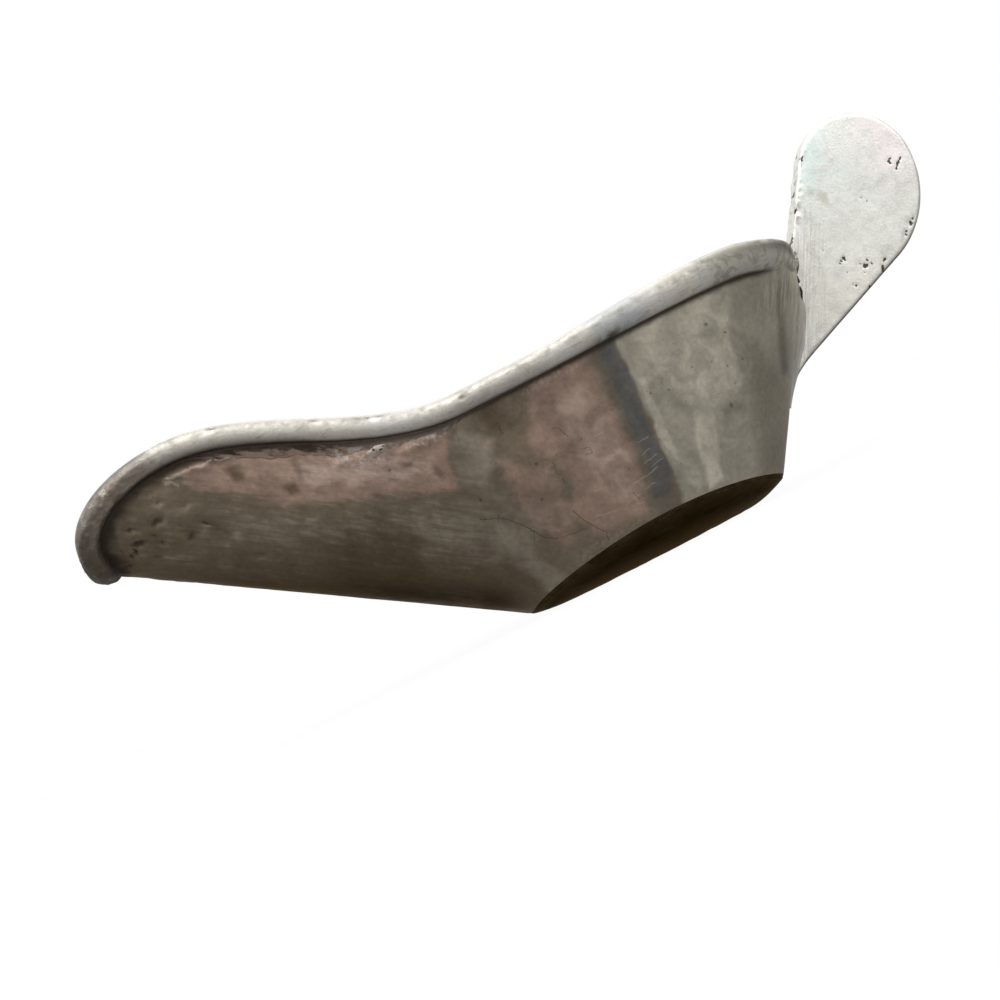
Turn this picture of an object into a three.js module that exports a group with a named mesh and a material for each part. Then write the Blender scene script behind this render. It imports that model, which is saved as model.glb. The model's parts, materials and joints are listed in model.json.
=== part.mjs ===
// Pewter sauce boat: an open oval bowl that runs out into a long trough spout,
// with a flat upright handle plate at its back, a dished bottom plate and a
// half-round band soldered round the rim.
// Millimetres, +Z up. The spout points to -X and the handle to +X. While the
// pieces are made, X = 0 is the front corner of the bottom plate, where the
// straight underside of the spout begins, and Z = 0 is the surface it stands on.

import * as THREE from 'three';

// Bottom plate
const baseLength = 54.2;         // from its front corner to its back edge
const plateThickness = 1.8;
const frontLift = 0.8;           // how high its edge stands at the front corner
const backLift = 2.2;            // and at the back
const edgeRise = 9.9;           // sets how high the edge climbs along the sides
const restFront = 6;             // the hammered flat that it stands on starts here
const restBack = 46.5;           // and ends here
const restWidth = 15;
const dishCurve = 1.8;           // power of the curve from the flat out to the edge

// Wall
const wallThickness = 1.8;
const bowlWidth = 62;            // outside, at the rim
const widestAt = 28;
const bowlFlare = 0.23;          // the side leans out this much for each millimetre up
const backLean = 0.628;            // the same for the back wall
const backBelly = 0.5;           // and it swells out this much half way up
const bowlFullness = 5;          // power of the section: 2 is an ellipse, more is squarer
const backRoundness = 2.25;      // power of the plan's rounded back
const fillOutStart = -6;         // the trough's section starts to fill out into the bowl's here
const flareStart = -22;          // and its sides start to lean out here

// Spout
const keelSlope = 0.618;         // rise of the straight underside
const spoutWidth = 25;           // outside, near the mouth
const narrowReach = 61;          // the plan reaches that width this far in front of the corner
const spoutFlare = 0.06;
const spoutFullness = 2.25;

// Rim, seen from the side
const bowlRimHeight = 42.3;      // lowest place, over the front half of the bowl
const sternStart = 8;            // from here back it rises a little
const sternTop = 52;             // as far as here
const sternRise = 2.6;
const sternDip = 4.2;            // how much it drops again at the very back
const crestHeight = 58.3;
const crestReach = 51;           // the crest of the spout lies this far in front of the corner
const riseStart = 2;             // and the rim starts to climb here
const mouthDepth = 21.2;         // from the crest forward to the lip
const mouthHeight = 12.2;        // from the crest down to the lip's foremost point

// Rim band
const bandHeightBack = 4.9;
const bandHeightBowl = 3.2;
const bandHeightSpout = 3.4;
const bandHeightLip = 5.2;
const bandBulge = 2.1;
const bandBulgeAtHandle = 1.1;   // it is dressed thinner where the handle is let in
const bandCap = 1.0;             // how far it stands above the edge of the wall

// Handle plate
const handleThickness = 4.4;
const handleRadius = 12.9;       // the upper part of its round end
const handleHeelRadius = 20.4;   // the lower part, which runs into the lower edge
const handleReach = 20.9;        // from the back of the rim to the centre of the round end
const handleRise = 9.7;          // and how far above it
const handleEdgeRound = 0.9;
const footHeight = 12.5;         // where its foot runs out on the back wall
const footReach = 11.6;          // how far behind the wall the foot's curve starts
const footRise = 8.8;            // and how far above the foot's end
const footToe = 0.7;             // thickness left at the very end of the foot

// Solder
const seam = 0.3;                // clearance between pieces that are soldered together
const rimBeadHeight = 1.6;
const rimBeadThickness = 0.9;
const rimBeadGap = 1;            // between the rim bead and the handle's fillets
const bottomBeadLeg = 2.2;
const bottomBeadCrown = 0.6;
const filletAlongWall = 5;
const filletAlongHandle = 2.4;
const filletStart = 2;           // above the end of the foot
const filletStartShare = 0.35;   // its legs there, as a share of the full ones
const filletEdge = 0.12;         // thickness left at its thin edge

// Facets
const stationsPerSide = 44;
const wallRows = 9;
const plateRings = 5;
const bandArcSteps = 8;

const { clamp, lerp } = THREE.MathUtils;

function smooth(value, start, end) {
  const t = clamp((value - start) / (end - start), 0, 1);
  return t * t * (3 - 2 * t);
}

// Shape of the hull

function rimLevel(x) {
  const climb = (crestHeight - bowlRimHeight) * smooth(-x, riseStart, crestReach);
  const stern = sternRise * smooth(x, sternStart, sternTop);
  const dip = sternDip * smooth(x, sternTop + 2, backAt(bowlRimHeight) + 3);
  return bowlRimHeight + climb + stern - dip;
}

function backAt(z) {
  const up = clamp((z - backLift) / (bowlRimHeight - backLift), 0, 1);
  return baseLength + backLean * (z - backLift) + backBelly * Math.sin(Math.PI * up);
}

function rimHalfWidth(x) {
  const forward = clamp((widestAt - x) / (widestAt + narrowReach), 0, 1);
  const swell = (Math.cos(Math.PI * forward) + 1) / 2;
  return lerp(spoutWidth / 2, bowlWidth / 2, swell);
}

// Half the outside width of the hull at any place in the side view. The line of
// the keel runs on below the bottom plate, which cuts the section off.
function halfWidth(x, z) {
  const keel = -keelSlope * x;
  const rim = rimLevel(x);
  const up = clamp((z - keel) / (rim - keel), 0, 1);
  const fullness = lerp(spoutFullness, bowlFullness, smooth(x, fillOutStart, widestAt));
  const round = (1 - (1 - up) ** fullness) ** (1 / fullness);
  const flare = lerp(spoutFlare, bowlFlare, smooth(x, flareStart, widestAt));
  const straight = rimHalfWidth(x) - flare * (rim - z);
  const aft = clamp((x - widestAt) / (backAt(z) - widestAt), 0, 1);
  const closing = (1 - aft ** backRoundness) ** (1 / backRoundness);
  return straight * round * closing;
}

// Side view of the plate's edge, from the back (0) to the front corner (1).
// A lift above the edge slides the ends along the back wall and the keel.
function plateEdge(t, lift) {
  const fromFront = 1 - t;
  const climb = edgeRise * Math.sqrt(fromFront) * (1 - fromFront ** 2);
  const z = lerp(backLift, frontLift, t) + climb + lift;
  const front = -(frontLift + lift) / keelSlope;
  const back = backAt(backLift + lift);
  return new THREE.Vector2(lerp(back, front, t), z);
}

// Side view of the wall's upper edge, from the back (0) to the lip (1)
function makeRimLine() {
  const points = [];
  const backEnd = rimLevel(backAt(bowlRimHeight));
  const start = backAt(backEnd);
  const steps = 160;
  for (let i = 0; i <= steps; i++) {
    const x = lerp(start, -crestReach, i / steps);
    points.push(new THREE.Vector2(x, rimLevel(x)));
  }
  for (let i = 1; i <= steps; i++) {
    const angle = Math.PI / 2 + (Math.PI * i) / steps;
    const x = -crestReach + mouthDepth * Math.cos(angle);
    const z = crestHeight - mouthHeight + mouthHeight * Math.sin(angle);
    const above = z + keelSlope * x;
    if (above <= 0) {
      const last = points[points.length - 1];
      const lastAbove = last.y + keelSlope * last.x;
      const share = lastAbove / (lastAbove - above);
      points.push(last.clone().lerp(new THREE.Vector2(x, z), share));
      break;
    }
    points.push(new THREE.Vector2(x, z));
  }
  const lengths = [0];
  for (let i = 1; i < points.length; i++) {
    lengths.push(lengths[i - 1] + points[i].distanceTo(points[i - 1]));
  }
  const total = lengths[lengths.length - 1];
  return (t) => {
    const target = clamp(t, 0, 1) * total;
    let i = 1;
    while (i < points.length - 1 && lengths[i] < target) i++;
    const share = (target - lengths[i - 1]) / (lengths[i] - lengths[i - 1]);
    return points[i - 1].clone().lerp(points[i], clamp(share, 0, 1));
  };
}

const rimLine = makeRimLine();

// Stations run round the hull: 0 is the back, the middle one is the keel.
const stations = 2 * stationsPerSide;

function stationSide(i) {
  const k = ((i % stations) + stations) % stations;
  const along = k <= stationsPerSide ? k / stationsPerSide : (stations - k) / stationsPerSide;
  const side = k <= stationsPerSide ? 1 : -1;
  return { t: (1 - Math.cos(Math.PI * along)) / 2, side, middle: k === 0 || k === stationsPerSide };
}

function hullPoint(i, h) {
  const { t, side, middle } = stationSide(i);
  const low = plateEdge(t, plateThickness + seam);
  const p = low.lerp(rimLine(t), h);
  const y = middle ? 0 : side * halfWidth(p.x, p.y);
  return new THREE.Vector3(p.x, y, p.y);
}

function hullNormal(i, h) {
  const step = 0.02;
  const around = hullPoint(i + 1, h).sub(hullPoint(i - 1, h));
  const up = hullPoint(i, Math.min(1, h + step)).sub(hullPoint(i, Math.max(0, h - step)));
  const normal = around.cross(up).normalize();
  if (stationSide(i).middle) normal.setY(0).normalize();
  return normal;
}

function innerPoint(i, h, extra = 0) {
  return hullPoint(i, h).addScaledVector(hullNormal(i, h), -(wallThickness + extra));
}

// Closed bodies

function bodyFrom(vertices, triangles) {
  let volume = 0;
  for (const [a, b, c] of triangles) {
    volume += vertices[a].dot(vertices[b].clone().cross(vertices[c])) / 6;
  }
  const index = triangles.flatMap(([a, b, c]) => (volume < 0 ? [a, c, b] : [a, b, c]));
  const geometry = new THREE.BufferGeometry().setFromPoints(vertices);
  geometry.setIndex(index);
  geometry.computeVertexNormals();
  return geometry;
}

// Joins equal sections into one skin. A closed run joins its last section to
// its first, and an open run is capped at both ends.
function loft(sections, closed) {
  const count = sections[0].length;
  const vertices = sections.flat();
  const triangles = [];
  const spans = closed ? sections.length : sections.length - 1;
  for (let i = 0; i < spans; i++) {
    const next = (i + 1) % sections.length;
    for (let k = 0; k < count; k++) {
      const a = i * count + k;
      const b = i * count + ((k + 1) % count);
      const c = next * count + k;
      const d = next * count + ((k + 1) % count);
      triangles.push([a, b, c], [b, d, c]);
    }
  }
  if (!closed) {
    const last = (sections.length - 1) * count;
    for (const [a, b, c] of capTriangles(sections[0])) {
      triangles.push([a, c, b]);
      triangles.push([last + a, last + b, last + c]);
    }
  }
  return bodyFrom(vertices, triangles);
}

// Flattens a section onto the plane it mostly lies in and cuts it into triangles
function capTriangles(section) {
  const normal = new THREE.Vector3();
  for (let k = 0; k < section.length; k++) {
    normal.add(section[k].clone().cross(section[(k + 1) % section.length]));
  }
  normal.normalize();
  const helper = Math.abs(normal.z) < 0.9 ? new THREE.Vector3(0, 0, 1) : new THREE.Vector3(1, 0, 0);
  const across = helper.cross(normal).normalize();
  const over = normal.clone().cross(across);
  const flat = section.map((p) => new THREE.Vector2(p.dot(across), p.dot(over)));
  return THREE.ShapeUtils.triangulateShape(flat, []);
}

// Pieces

function bowlWall() {
  const sections = [];
  for (let i = 0; i < stations; i++) {
    const section = [];
    for (let j = 0; j <= wallRows; j++) section.push(hullPoint(i, j / wallRows));
    for (let j = wallRows; j >= 0; j--) section.push(innerPoint(i, j / wallRows));
    sections.push(section);
  }
  return loft(sections, true);
}

// A point on the plate's underside, or on its upper face with a lift. Out is 0
// on the rim of the flat and 1 on the outer edge.
function platePoint(i, out, lift) {
  const { t, side, middle } = stationSide(i);
  const edge = plateEdge(t, lift);
  const rise = edge.y - lift;
  const edgeY = middle ? 0 : side * halfWidth(edge.x, edge.y);
  const flatX = lerp(restBack, restFront, t);
  const flatY = side * (restWidth / 2) * Math.sqrt(4 * t * (1 - t));
  return new THREE.Vector3(
    lerp(flatX, edge.x, out),
    lerp(middle ? 0 : flatY, edgeY, out),
    rise * out ** dishCurve + lift,
  );
}

function plateLoop(out, lift) {
  const loop = [];
  for (let i = 0; i < stations; i++) loop.push(platePoint(i, out, lift));
  return loop;
}

function bottomPlate() {
  const loops = [];
  for (let r = 0; r <= plateRings; r++) loops.push(plateLoop(r / plateRings, 0));
  for (let r = plateRings; r >= 0; r--) loops.push(plateLoop(r / plateRings, plateThickness));
  return loft(loops, false);
}

// Axes of the band at a station: out from the wall, and up past its edge
function rimFrame(i) {
  const origin = hullPoint(i, 1);
  const along = hullPoint(i + 1, 1).sub(hullPoint(i - 1, 1)).normalize();
  const out = hullNormal(i, 1);
  const up = out.clone().cross(along).normalize();
  return { origin, out, up };
}

function onRim(frame, outward, upward) {
  return frame.origin.clone().addScaledVector(frame.out, outward).addScaledVector(frame.up, upward);
}

function bandHeight(i) {
  const place = hullPoint(i, 1);
  const bowl = lerp(bandHeightBowl, bandHeightBack, smooth(place.x, sternStart, sternTop));
  const spout = lerp(bowl, bandHeightSpout, smooth(-place.x, 0, crestReach));
  const fromKeel = place.x < -crestReach ? Math.abs(place.y) : spoutWidth;
  return lerp(bandHeightLip, spout, smooth(fromKeel, 0, spoutWidth * 0.4));
}

function bandThickness(i) {
  const place = hullPoint(i, 1);
  if (place.x < widestAt) return bandBulge;
  return lerp(bandBulgeAtHandle, bandBulge, smooth(Math.abs(place.y), handleThickness, 20));
}

// Half-round outside, with a lip that turns in over the edge of the wall
function bandSection(i) {
  const frame = rimFrame(i);
  const height = bandHeight(i);
  const middle = (bandCap - height) / 2;
  const reach = (bandCap + height) / 2;
  const section = [];
  for (let s = 0; s <= bandArcSteps; s++) {
    const angle = -Math.PI / 2 + (Math.PI * s) / bandArcSteps;
    const outward = seam + (bandThickness(i) - seam) * Math.cos(angle);
    section.push(onRim(frame, outward, middle + reach * Math.sin(angle)));
  }
  section.push(onRim(frame, -wallThickness * 0.6, bandCap));
  section.push(onRim(frame, -wallThickness, bandCap * 0.65));
  section.push(onRim(frame, -wallThickness, seam));
  section.push(onRim(frame, seam, seam));
  return section;
}

function rimBand() {
  const sections = [];
  for (let i = 0; i < stations; i++) sections.push(bandSection(i));
  return loft(sections, true);
}

// Solder line in the corner under the band, from one side of the handle's
// fillets round the lip to the other
function rimBead() {
  const sections = [];
  for (let i = 1; i < stations; i++) {
    const frame = rimFrame(i);
    const clearOfHandle = handleThickness / 2 + filletAlongWall + rimBeadGap;
    if (frame.origin.x > widestAt && Math.abs(frame.origin.y) < clearOfHandle) continue;
    const top = -bandHeight(i) - seam;
    sections.push([
      onRim(frame, seam, top),
      onRim(frame, seam, top - rimBeadHeight),
      onRim(frame, seam + rimBeadThickness * 0.45, top - rimBeadHeight * 0.5),
      onRim(frame, seam + rimBeadThickness, top),
    ]);
  }
  return loft(sections, false);
}

// Solder in the corner between the plate's upper face and the inside of the
// wall, with a low crown that faces into the bowl
function bottomBead() {
  const sections = [];
  for (let i = 0; i < stations; i++) {
    const wallLength = hullPoint(i, 0).distanceTo(hullPoint(i, 1));
    const plateLength = platePoint(i, 0, 0).distanceTo(platePoint(i, 1, 0));
    const corner = innerPoint(i, seam / wallLength, seam);
    const wallTop = innerPoint(i, bottomBeadLeg / wallLength, seam);
    const wallInset = (wallThickness + seam) / plateLength;
    const plateEnd = platePoint(i, 1 - wallInset - bottomBeadLeg / plateLength, plateThickness + seam);
    const inward = hullNormal(i, 0).negate().add(new THREE.Vector3(0, 0, 1)).normalize();
    const section = [corner, wallTop];
    for (const t of [0.25, 0.5, 0.75]) {
      const crown = bottomBeadCrown * 4 * t * (1 - t);
      section.push(wallTop.clone().lerp(plateEnd, t).addScaledVector(inward, crown));
    }
    section.push(plateEnd);
    sections.push(section);
  }
  return loft(sections, true);
}

// Outline of the handle plate in the side view. Each point says how much of
// the edge rounding it gets: none where the plate meets the wall and the band.
function handleOutline() {
  const outline = [];
  const add = (x, z, round) => outline.push({ x, z, round });
  const frame = rimFrame(0);
  const height = bandHeight(0);
  const wallLine = (z) => backAt(z) + seam * Math.hypot(1, backLean);

  const middle = (bandCap - height) / 2;
  const reach = (bandCap + height) / 2 + seam;
  const aroundBand = [];
  for (let s = 1; s <= bandArcSteps; s++) {
    const angle = -Math.PI / 2 + ((Math.PI * 0.86) * s) / bandArcSteps;
    const outward = seam + bandBulgeAtHandle * Math.cos(angle);
    aroundBand.push(onRim(frame, outward, middle + reach * Math.sin(angle)));
  }
  const wallTop = Math.min(...aroundBand.map((p) => p.z)) - seam / 2;
  const wallSteps = 3;
  for (let s = 0; s <= wallSteps; s++) {
    const z = lerp(footHeight, wallTop, s / wallSteps);
    add(wallLine(z), z, 0);
  }
  for (const p of aroundBand) add(p.x, p.z, 0);

  // front edge, straight up to the round end, which it meets as a tangent
  const root = outline[outline.length - 1];
  const centre = new THREE.Vector2(frame.origin.x + handleReach, frame.origin.z + handleRise);
  const rootAway = new THREE.Vector2(root.x, root.z).sub(centre);
  const arcStart = rootAway.angle() - Math.acos(handleRadius / rootAway.length());
  addArc(add, centre, handleRadius, arcStart, 0, 18);

  // lower edge: the heel's larger arc, then its tangent down to the foot's curve
  const heel = new THREE.Vector2(centre.x + handleRadius - handleHeelRadius, centre.y);
  const turn = new THREE.Vector2(backAt(footHeight) + footReach, footHeight + footRise);
  const turnAway = turn.clone().sub(heel);
  const arcEnd = turnAway.angle() + Math.acos(handleHeelRadius / turnAway.length());
  addArc(add, heel, handleHeelRadius, -0.08, arcEnd - 2 * Math.PI, 12);

  const edge = new THREE.Vector2(Math.cos(arcEnd - Math.PI / 2), Math.sin(arcEnd - Math.PI / 2));
  const end = new THREE.Vector2(wallLine(footHeight) + footToe, footHeight);
  const wall = new THREE.Vector2(wallLine(footHeight + 1) - wallLine(footHeight), 1);
  const reachBack = turn.clone().sub(end).cross(wall) / edge.cross(wall);
  const bend = turn.clone().addScaledVector(edge, -reachBack);
  const footSteps = 8;
  for (let s = 0; s <= footSteps; s++) {
    const t = s / footSteps;
    const p = turn.clone().lerp(bend, t).lerp(bend.clone().lerp(end, t), t);
    add(p.x, p.y, (1 - t) ** 2);
  }
  return outline;
}

function addArc(add, centre, radius, start, end, steps) {
  for (let s = 0; s <= steps; s++) {
    const angle = lerp(start, end, s / steps);
    add(centre.x + radius * Math.cos(angle), centre.y + radius * Math.sin(angle), 1);
  }
}

// The outline pulled in at its rounded edges, at a distance from the middle plane
function handleLoop(outline, y, pull) {
  return outline.map((p, k) => {
    const before = outline[(k - 1 + outline.length) % outline.length];
    const after = outline[(k + 1) % outline.length];
    const edge = new THREE.Vector2(after.x - before.x, after.z - before.z).normalize();
    const inward = pull * p.round;
    return new THREE.Vector3(p.x + edge.y * inward, y, p.z - edge.x * inward);
  });
}

function handlePlate() {
  const outline = handleOutline();
  const half = handleThickness / 2;
  const layers = [[1, 1], [0.9, 0.45], [0.55, 0], [-0.55, 0], [-0.9, 0.45], [-1, 1]];
  const loops = layers.map(([side, pull]) => handleLoop(outline, half * side, handleEdgeRound * pull));
  return loft(loops, false);
}

// Concave solder fillet between one face of the handle and the back wall
function handleFillet(side) {
  const top = onRim(rimFrame(0), 0, -bandHeight(0)).z - 3 * seam;
  const bottom = footHeight + filletStart;
  const levels = 12;
  const sections = [];
  for (let l = 0; l <= levels; l++) {
    const z = lerp(bottom, top, l / levels);
    const swell = lerp(filletStartShare, 1, smooth(l / levels, 0, 0.45));
    const wallOut = (y) => backOutline(y, z) + 1.2 * seam * Math.hypot(1, backLean);
    const near = handleThickness / 2 + seam;
    const far = near + filletAlongWall * swell;
    const tip = wallOut(near) + filletAlongHandle * swell;
    const section = [];
    for (let s = 0; s <= 3; s++) {
      const y = lerp(near, far, s / 3);
      section.push(new THREE.Vector3(wallOut(y), side * y, z));
    }
    for (let s = 1; s <= 4; s++) {
      const t = s / 5;
      const y = lerp(far, near, t);
      const x = lerp(wallOut(far), tip, t * t) + filletEdge;
      section.push(new THREE.Vector3(Math.max(x, wallOut(y) + filletEdge), side * y, z));
    }
    section.push(new THREE.Vector3(tip, side * near, z));
    sections.push(section);
  }
  return loft(sections, false);
}

// Where the outside of the back wall stands at a distance from the middle plane
function backOutline(y, z) {
  let near = widestAt;
  let far = backAt(z);
  for (let n = 0; n < 40; n++) {
    const x = (near + far) / 2;
    if (halfWidth(x, z) > y) near = x;
    else far = x;
  }
  return near;
}

// Assembly

const sauceBoat = new THREE.Group();

function addPiece(name, geometry, color, roughness) {
  const material = new THREE.MeshStandardMaterial({ color, roughness, metalness: 1 });
  const mesh = new THREE.Mesh(geometry, material);
  mesh.name = name;
  sauceBoat.add(mesh);
}

addPiece('bowl_wall', bowlWall(), 0x8a7f74, 0.38);
addPiece('bottom_plate', bottomPlate(), 0x6b6258, 0.45);
addPiece('rim_band', rimBand(), 0xd8d6cd, 0.32);
addPiece('rim_solder', rimBead(), 0xa39a8e, 0.5);
addPiece('bottom_solder', bottomBead(), 0x8d867c, 0.5);
addPiece('handle_plate', handlePlate(), 0xe0e1dc, 0.35);
addPiece('handle_solder_left', handleFillet(1), 0x9b968c, 0.45);
addPiece('handle_solder_right', handleFillet(-1), 0x9b968c, 0.45);

// The finished boat stands with the middle of its length over the origin
const bounds = new THREE.Box3().setFromObject(sauceBoat);
const middleX = (bounds.min.x + bounds.max.x) / 2;
for (const piece of sauceBoat.children) piece.position.set(-middleX, 0, 0);

export default sauceBoat;
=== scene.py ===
# Sauce boat of old pewter: tarnished wall and base, rubbed bright rim band and handle.
# Sizes in the dictionaries are millimetres in the boat's own frame. x = 0 is the front
# corner of the base, where the spout's keel starts, the spout runs to -x and the handle
# to +x, and z = 0 is the table. The photographed side is -y.
import itertools
import json
import math

import bmesh
import bpy
import numpy as np
from mathutils import Matrix, Vector


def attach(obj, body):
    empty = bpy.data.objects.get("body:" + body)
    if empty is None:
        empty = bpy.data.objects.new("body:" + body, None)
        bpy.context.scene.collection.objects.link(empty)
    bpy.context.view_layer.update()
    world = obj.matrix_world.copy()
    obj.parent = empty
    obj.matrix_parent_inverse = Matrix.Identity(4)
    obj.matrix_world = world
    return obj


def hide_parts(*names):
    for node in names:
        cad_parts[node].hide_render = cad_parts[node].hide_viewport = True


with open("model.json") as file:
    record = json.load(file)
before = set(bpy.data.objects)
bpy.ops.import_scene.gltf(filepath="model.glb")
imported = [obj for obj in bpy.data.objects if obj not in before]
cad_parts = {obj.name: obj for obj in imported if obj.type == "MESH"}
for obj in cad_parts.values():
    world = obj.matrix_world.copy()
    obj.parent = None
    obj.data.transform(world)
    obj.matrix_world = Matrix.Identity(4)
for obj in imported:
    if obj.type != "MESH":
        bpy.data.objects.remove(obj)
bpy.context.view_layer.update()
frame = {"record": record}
mm = 0.001

hull = {
    "baseLength": 54.2,
    "frontLift": 0.8,  # height of the base's edge at its front corner
    "backLift": 2.2,
    "edgeRise": 9.9,
    "backLean": 0.628,
    "backBelly": 0.5,
    "backRoundness": 2.25,
    "bowlWidth": 62,
    "widestAt": 28,
    "bowlFlare": 0.23,
    "bowlFullness": 5,
    "fillOutStart": -6,
    "flareStart": -22,
    "keelSlope": 0.618,
    "spoutWidth": 25,
    "narrowReach": 61,
    "spoutFlare": 0.06,
    "spoutFullness": 2.25,
    "bowlRimHeight": 42.3,
    "sternStart": 8,
    "sternTop": 52,
    "sternRise": 2.6,
    "sternDip": 4.2,
    "crestHeight": 58.3,
    "crestReach": 51,
    "riseStart": 2,
    "mouthDepth": 21.2,
    "mouthHeight": 12.2,
}

flat = {"front": 6, "back": 46.5, "width": 15}  # the hammered flat that the boat stands on

baseMount = next(m for m in frame["record"]["mounts"] if m["name"] == "base")
cornerX = baseMount["pos_m"][0] / mm - (flat["front"] + flat["back"]) / 2


# 0 before the start and 1 after the end, or the other way round if the end comes first
def smooth(value, start, end):
    t = np.clip((value - start) / (end - start), 0, 1)
    return t * t * (3 - 2 * t)


def lerp(a, b, t):
    return a + (b - a) * t


def unit(vectors):
    return vectors / (np.linalg.norm(vectors, axis=-1, keepdims=True) + 1e-12)


# smooth random swells about as wide as size, between -1 and 1
def swell(points, size, seed):
    cells = np.asarray(points, float) / size
    low = np.floor(cells).astype(np.int64)
    part = cells - low
    fade = part * part * (3 - 2 * part)
    total = np.zeros(cells.shape[:-1])
    for corner in itertools.product((0, 1), repeat=3):
        c = low + np.array(corner)
        mixed = c[..., 0] * 73856093 ^ c[..., 1] * 19349663 ^ c[..., 2] * 83492791 ^ seed * 265443576
        mixed = ((mixed ^ (mixed >> 13)) * 1274126177) & 0xFFFFFFFF
        mixed = ((mixed ^ (mixed >> 15)) * 668265263) & 0xFFFFFFFF
        height = ((mixed >> 8) & 0xFFFF) / 32767.5 - 1
        weight = np.prod(np.where(np.array(corner) == 1, fade, 1 - fade), axis=-1)
        total += height * weight
    return total


# Shape of the hull


def backAt(z):
    up = np.clip((z - hull["backLift"]) / (hull["bowlRimHeight"] - hull["backLift"]), 0, 1)
    lean = hull["backLean"] * (z - hull["backLift"])
    return hull["baseLength"] + lean + hull["backBelly"] * np.sin(np.pi * up)


def rimLevel(x):
    climb = hull["crestHeight"] - hull["bowlRimHeight"]
    climb = climb * smooth(-x, hull["riseStart"], hull["crestReach"])
    stern = hull["sternRise"] * smooth(x, hull["sternStart"], hull["sternTop"])
    dip = hull["sternDip"] * smooth(x, hull["sternTop"] + 2, backAt(hull["bowlRimHeight"]) + 3)
    return hull["bowlRimHeight"] + climb + stern - dip


def rimHalfWidth(x):
    forward = np.clip((hull["widestAt"] - x) / (hull["widestAt"] + hull["narrowReach"]), 0, 1)
    return lerp(hull["spoutWidth"] / 2, hull["bowlWidth"] / 2, (np.cos(np.pi * forward) + 1) / 2)


def halfWidth(x, z):
    keel = -hull["keelSlope"] * x
    rim = rimLevel(x)
    up = np.clip((z - keel) / (rim - keel), 0, 1)
    fillOut = smooth(x, hull["fillOutStart"], hull["widestAt"])
    fullness = lerp(hull["spoutFullness"], hull["bowlFullness"], fillOut)
    rounded = (1 - (1 - up) ** fullness) ** (1 / fullness)
    flare = lerp(hull["spoutFlare"], hull["bowlFlare"], smooth(x, hull["flareStart"], hull["widestAt"]))
    straight = rimHalfWidth(x) - flare * (rim - z)
    aft = np.clip((x - hull["widestAt"]) / (backAt(z) - hull["widestAt"]), 0, 1)
    closing = (1 - aft ** hull["backRoundness"]) ** (1 / hull["backRoundness"])
    return straight * rounded * closing


# Side view of the base's edge, from the back (0) to the front corner (1)
def baseEdge(t, lift):
    forward = 1 - t
    climb = hull["edgeRise"] * np.sqrt(forward) * (1 - forward**2)
    z = lerp(hull["backLift"], hull["frontLift"], t) + climb + lift
    front = -(hull["frontLift"] + lift) / hull["keelSlope"]
    return lerp(backAt(hull["backLift"] + lift), front, t), z


# Side view of the rim, from the back (0) round the crest to the lip (1)
def makeRimLine():
    start = backAt(rimLevel(backAt(hull["bowlRimHeight"])))
    x = np.linspace(start, -hull["crestReach"], 161)
    run = np.stack([x, rimLevel(x)], axis=1)
    angle = np.pi / 2 + np.pi * np.arange(1, 161) / 160
    mouthX = -hull["crestReach"] + hull["mouthDepth"] * np.cos(angle)
    mouthZ = hull["crestHeight"] - hull["mouthHeight"] + hull["mouthHeight"] * np.sin(angle)
    above = mouthZ + hull["keelSlope"] * mouthX
    last = int(np.argmax(above <= 0))
    share = above[last - 1] / (above[last - 1] - above[last])
    mouthX[last] = lerp(mouthX[last - 1], mouthX[last], share)
    mouthZ[last] = lerp(mouthZ[last - 1], mouthZ[last], share)
    line = np.concatenate([run, np.stack([mouthX, mouthZ], axis=1)[: last + 1]])
    steps = np.hypot(*np.diff(line, axis=0).T)
    return line, np.concatenate([[0], np.cumsum(steps)])


rimLine, rimLengths = makeRimLine()


def rimPoint(t):
    target = t * rimLengths[-1]
    return np.interp(target, rimLengths, rimLine[:, 0]), np.interp(target, rimLengths, rimLine[:, 1])


# Points of the hull at the stations t, on the side +1 or -1, at the share h of the wall's height
def hullPoints(t, side, h, lift):
    lowX, lowZ = baseEdge(t, lift)
    highX, highZ = rimPoint(t)
    x = lerp(lowX[:, None], highX[:, None], h[None, :])
    z = lerp(lowZ[:, None], highZ[:, None], h[None, :])
    y = side[:, None] * halfWidth(x, z)
    return np.stack([x, y, z], axis=-1)


# Stations evenly spaced round the hull, from the back along +y to the lip and back along -y
def evenStations(count):
    fine = (1 - np.cos(np.pi * np.linspace(0, 1, 4001))) / 2
    line = hullPoints(fine, np.ones(fine.size), np.array([0.7]), 0)[:, 0]
    lengths = np.concatenate([[0], np.cumsum(np.linalg.norm(np.diff(line, axis=0), axis=1))])
    t = np.interp(np.linspace(0, lengths[-1], count // 2 + 1), lengths, fine)
    t[0] = 0
    t[-1] = 1
    side = np.ones(count)
    side[count // 2 + 1 :] = -1
    return np.concatenate([t, t[-2:0:-1]]), side


# Outward direction at each point of a closed run of stations
def outward(grid):
    around = np.roll(grid, -1, axis=0) - np.roll(grid, 1, axis=0)
    return unit(np.cross(around, np.gradient(grid, axis=1)))


# The numbers of the points, in the same rows and columns
def numbered(points, first=0):
    return np.arange(points[..., 0].size).reshape(points.shape[:-1]) + first


# Faces over a grid of point numbers, its rows or its columns closed into rings
def sheetFaces(grid, closeRows=False, closeColumns=False):
    nextRow = np.roll(grid, -1, axis=0)
    corners = [grid, nextRow, np.roll(nextRow, -1, axis=1), np.roll(grid, -1, axis=1)]
    rows = slice(None if closeRows else -1)
    columns = slice(None if closeColumns else -1)
    return np.stack([c[rows, columns].ravel() for c in corners], axis=1)


# Faces of a run of rings with both ends filled
def tubeFaces(grid):
    return [*sheetFaces(grid, False, True), grid[0], grid[-1, ::-1]]


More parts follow.
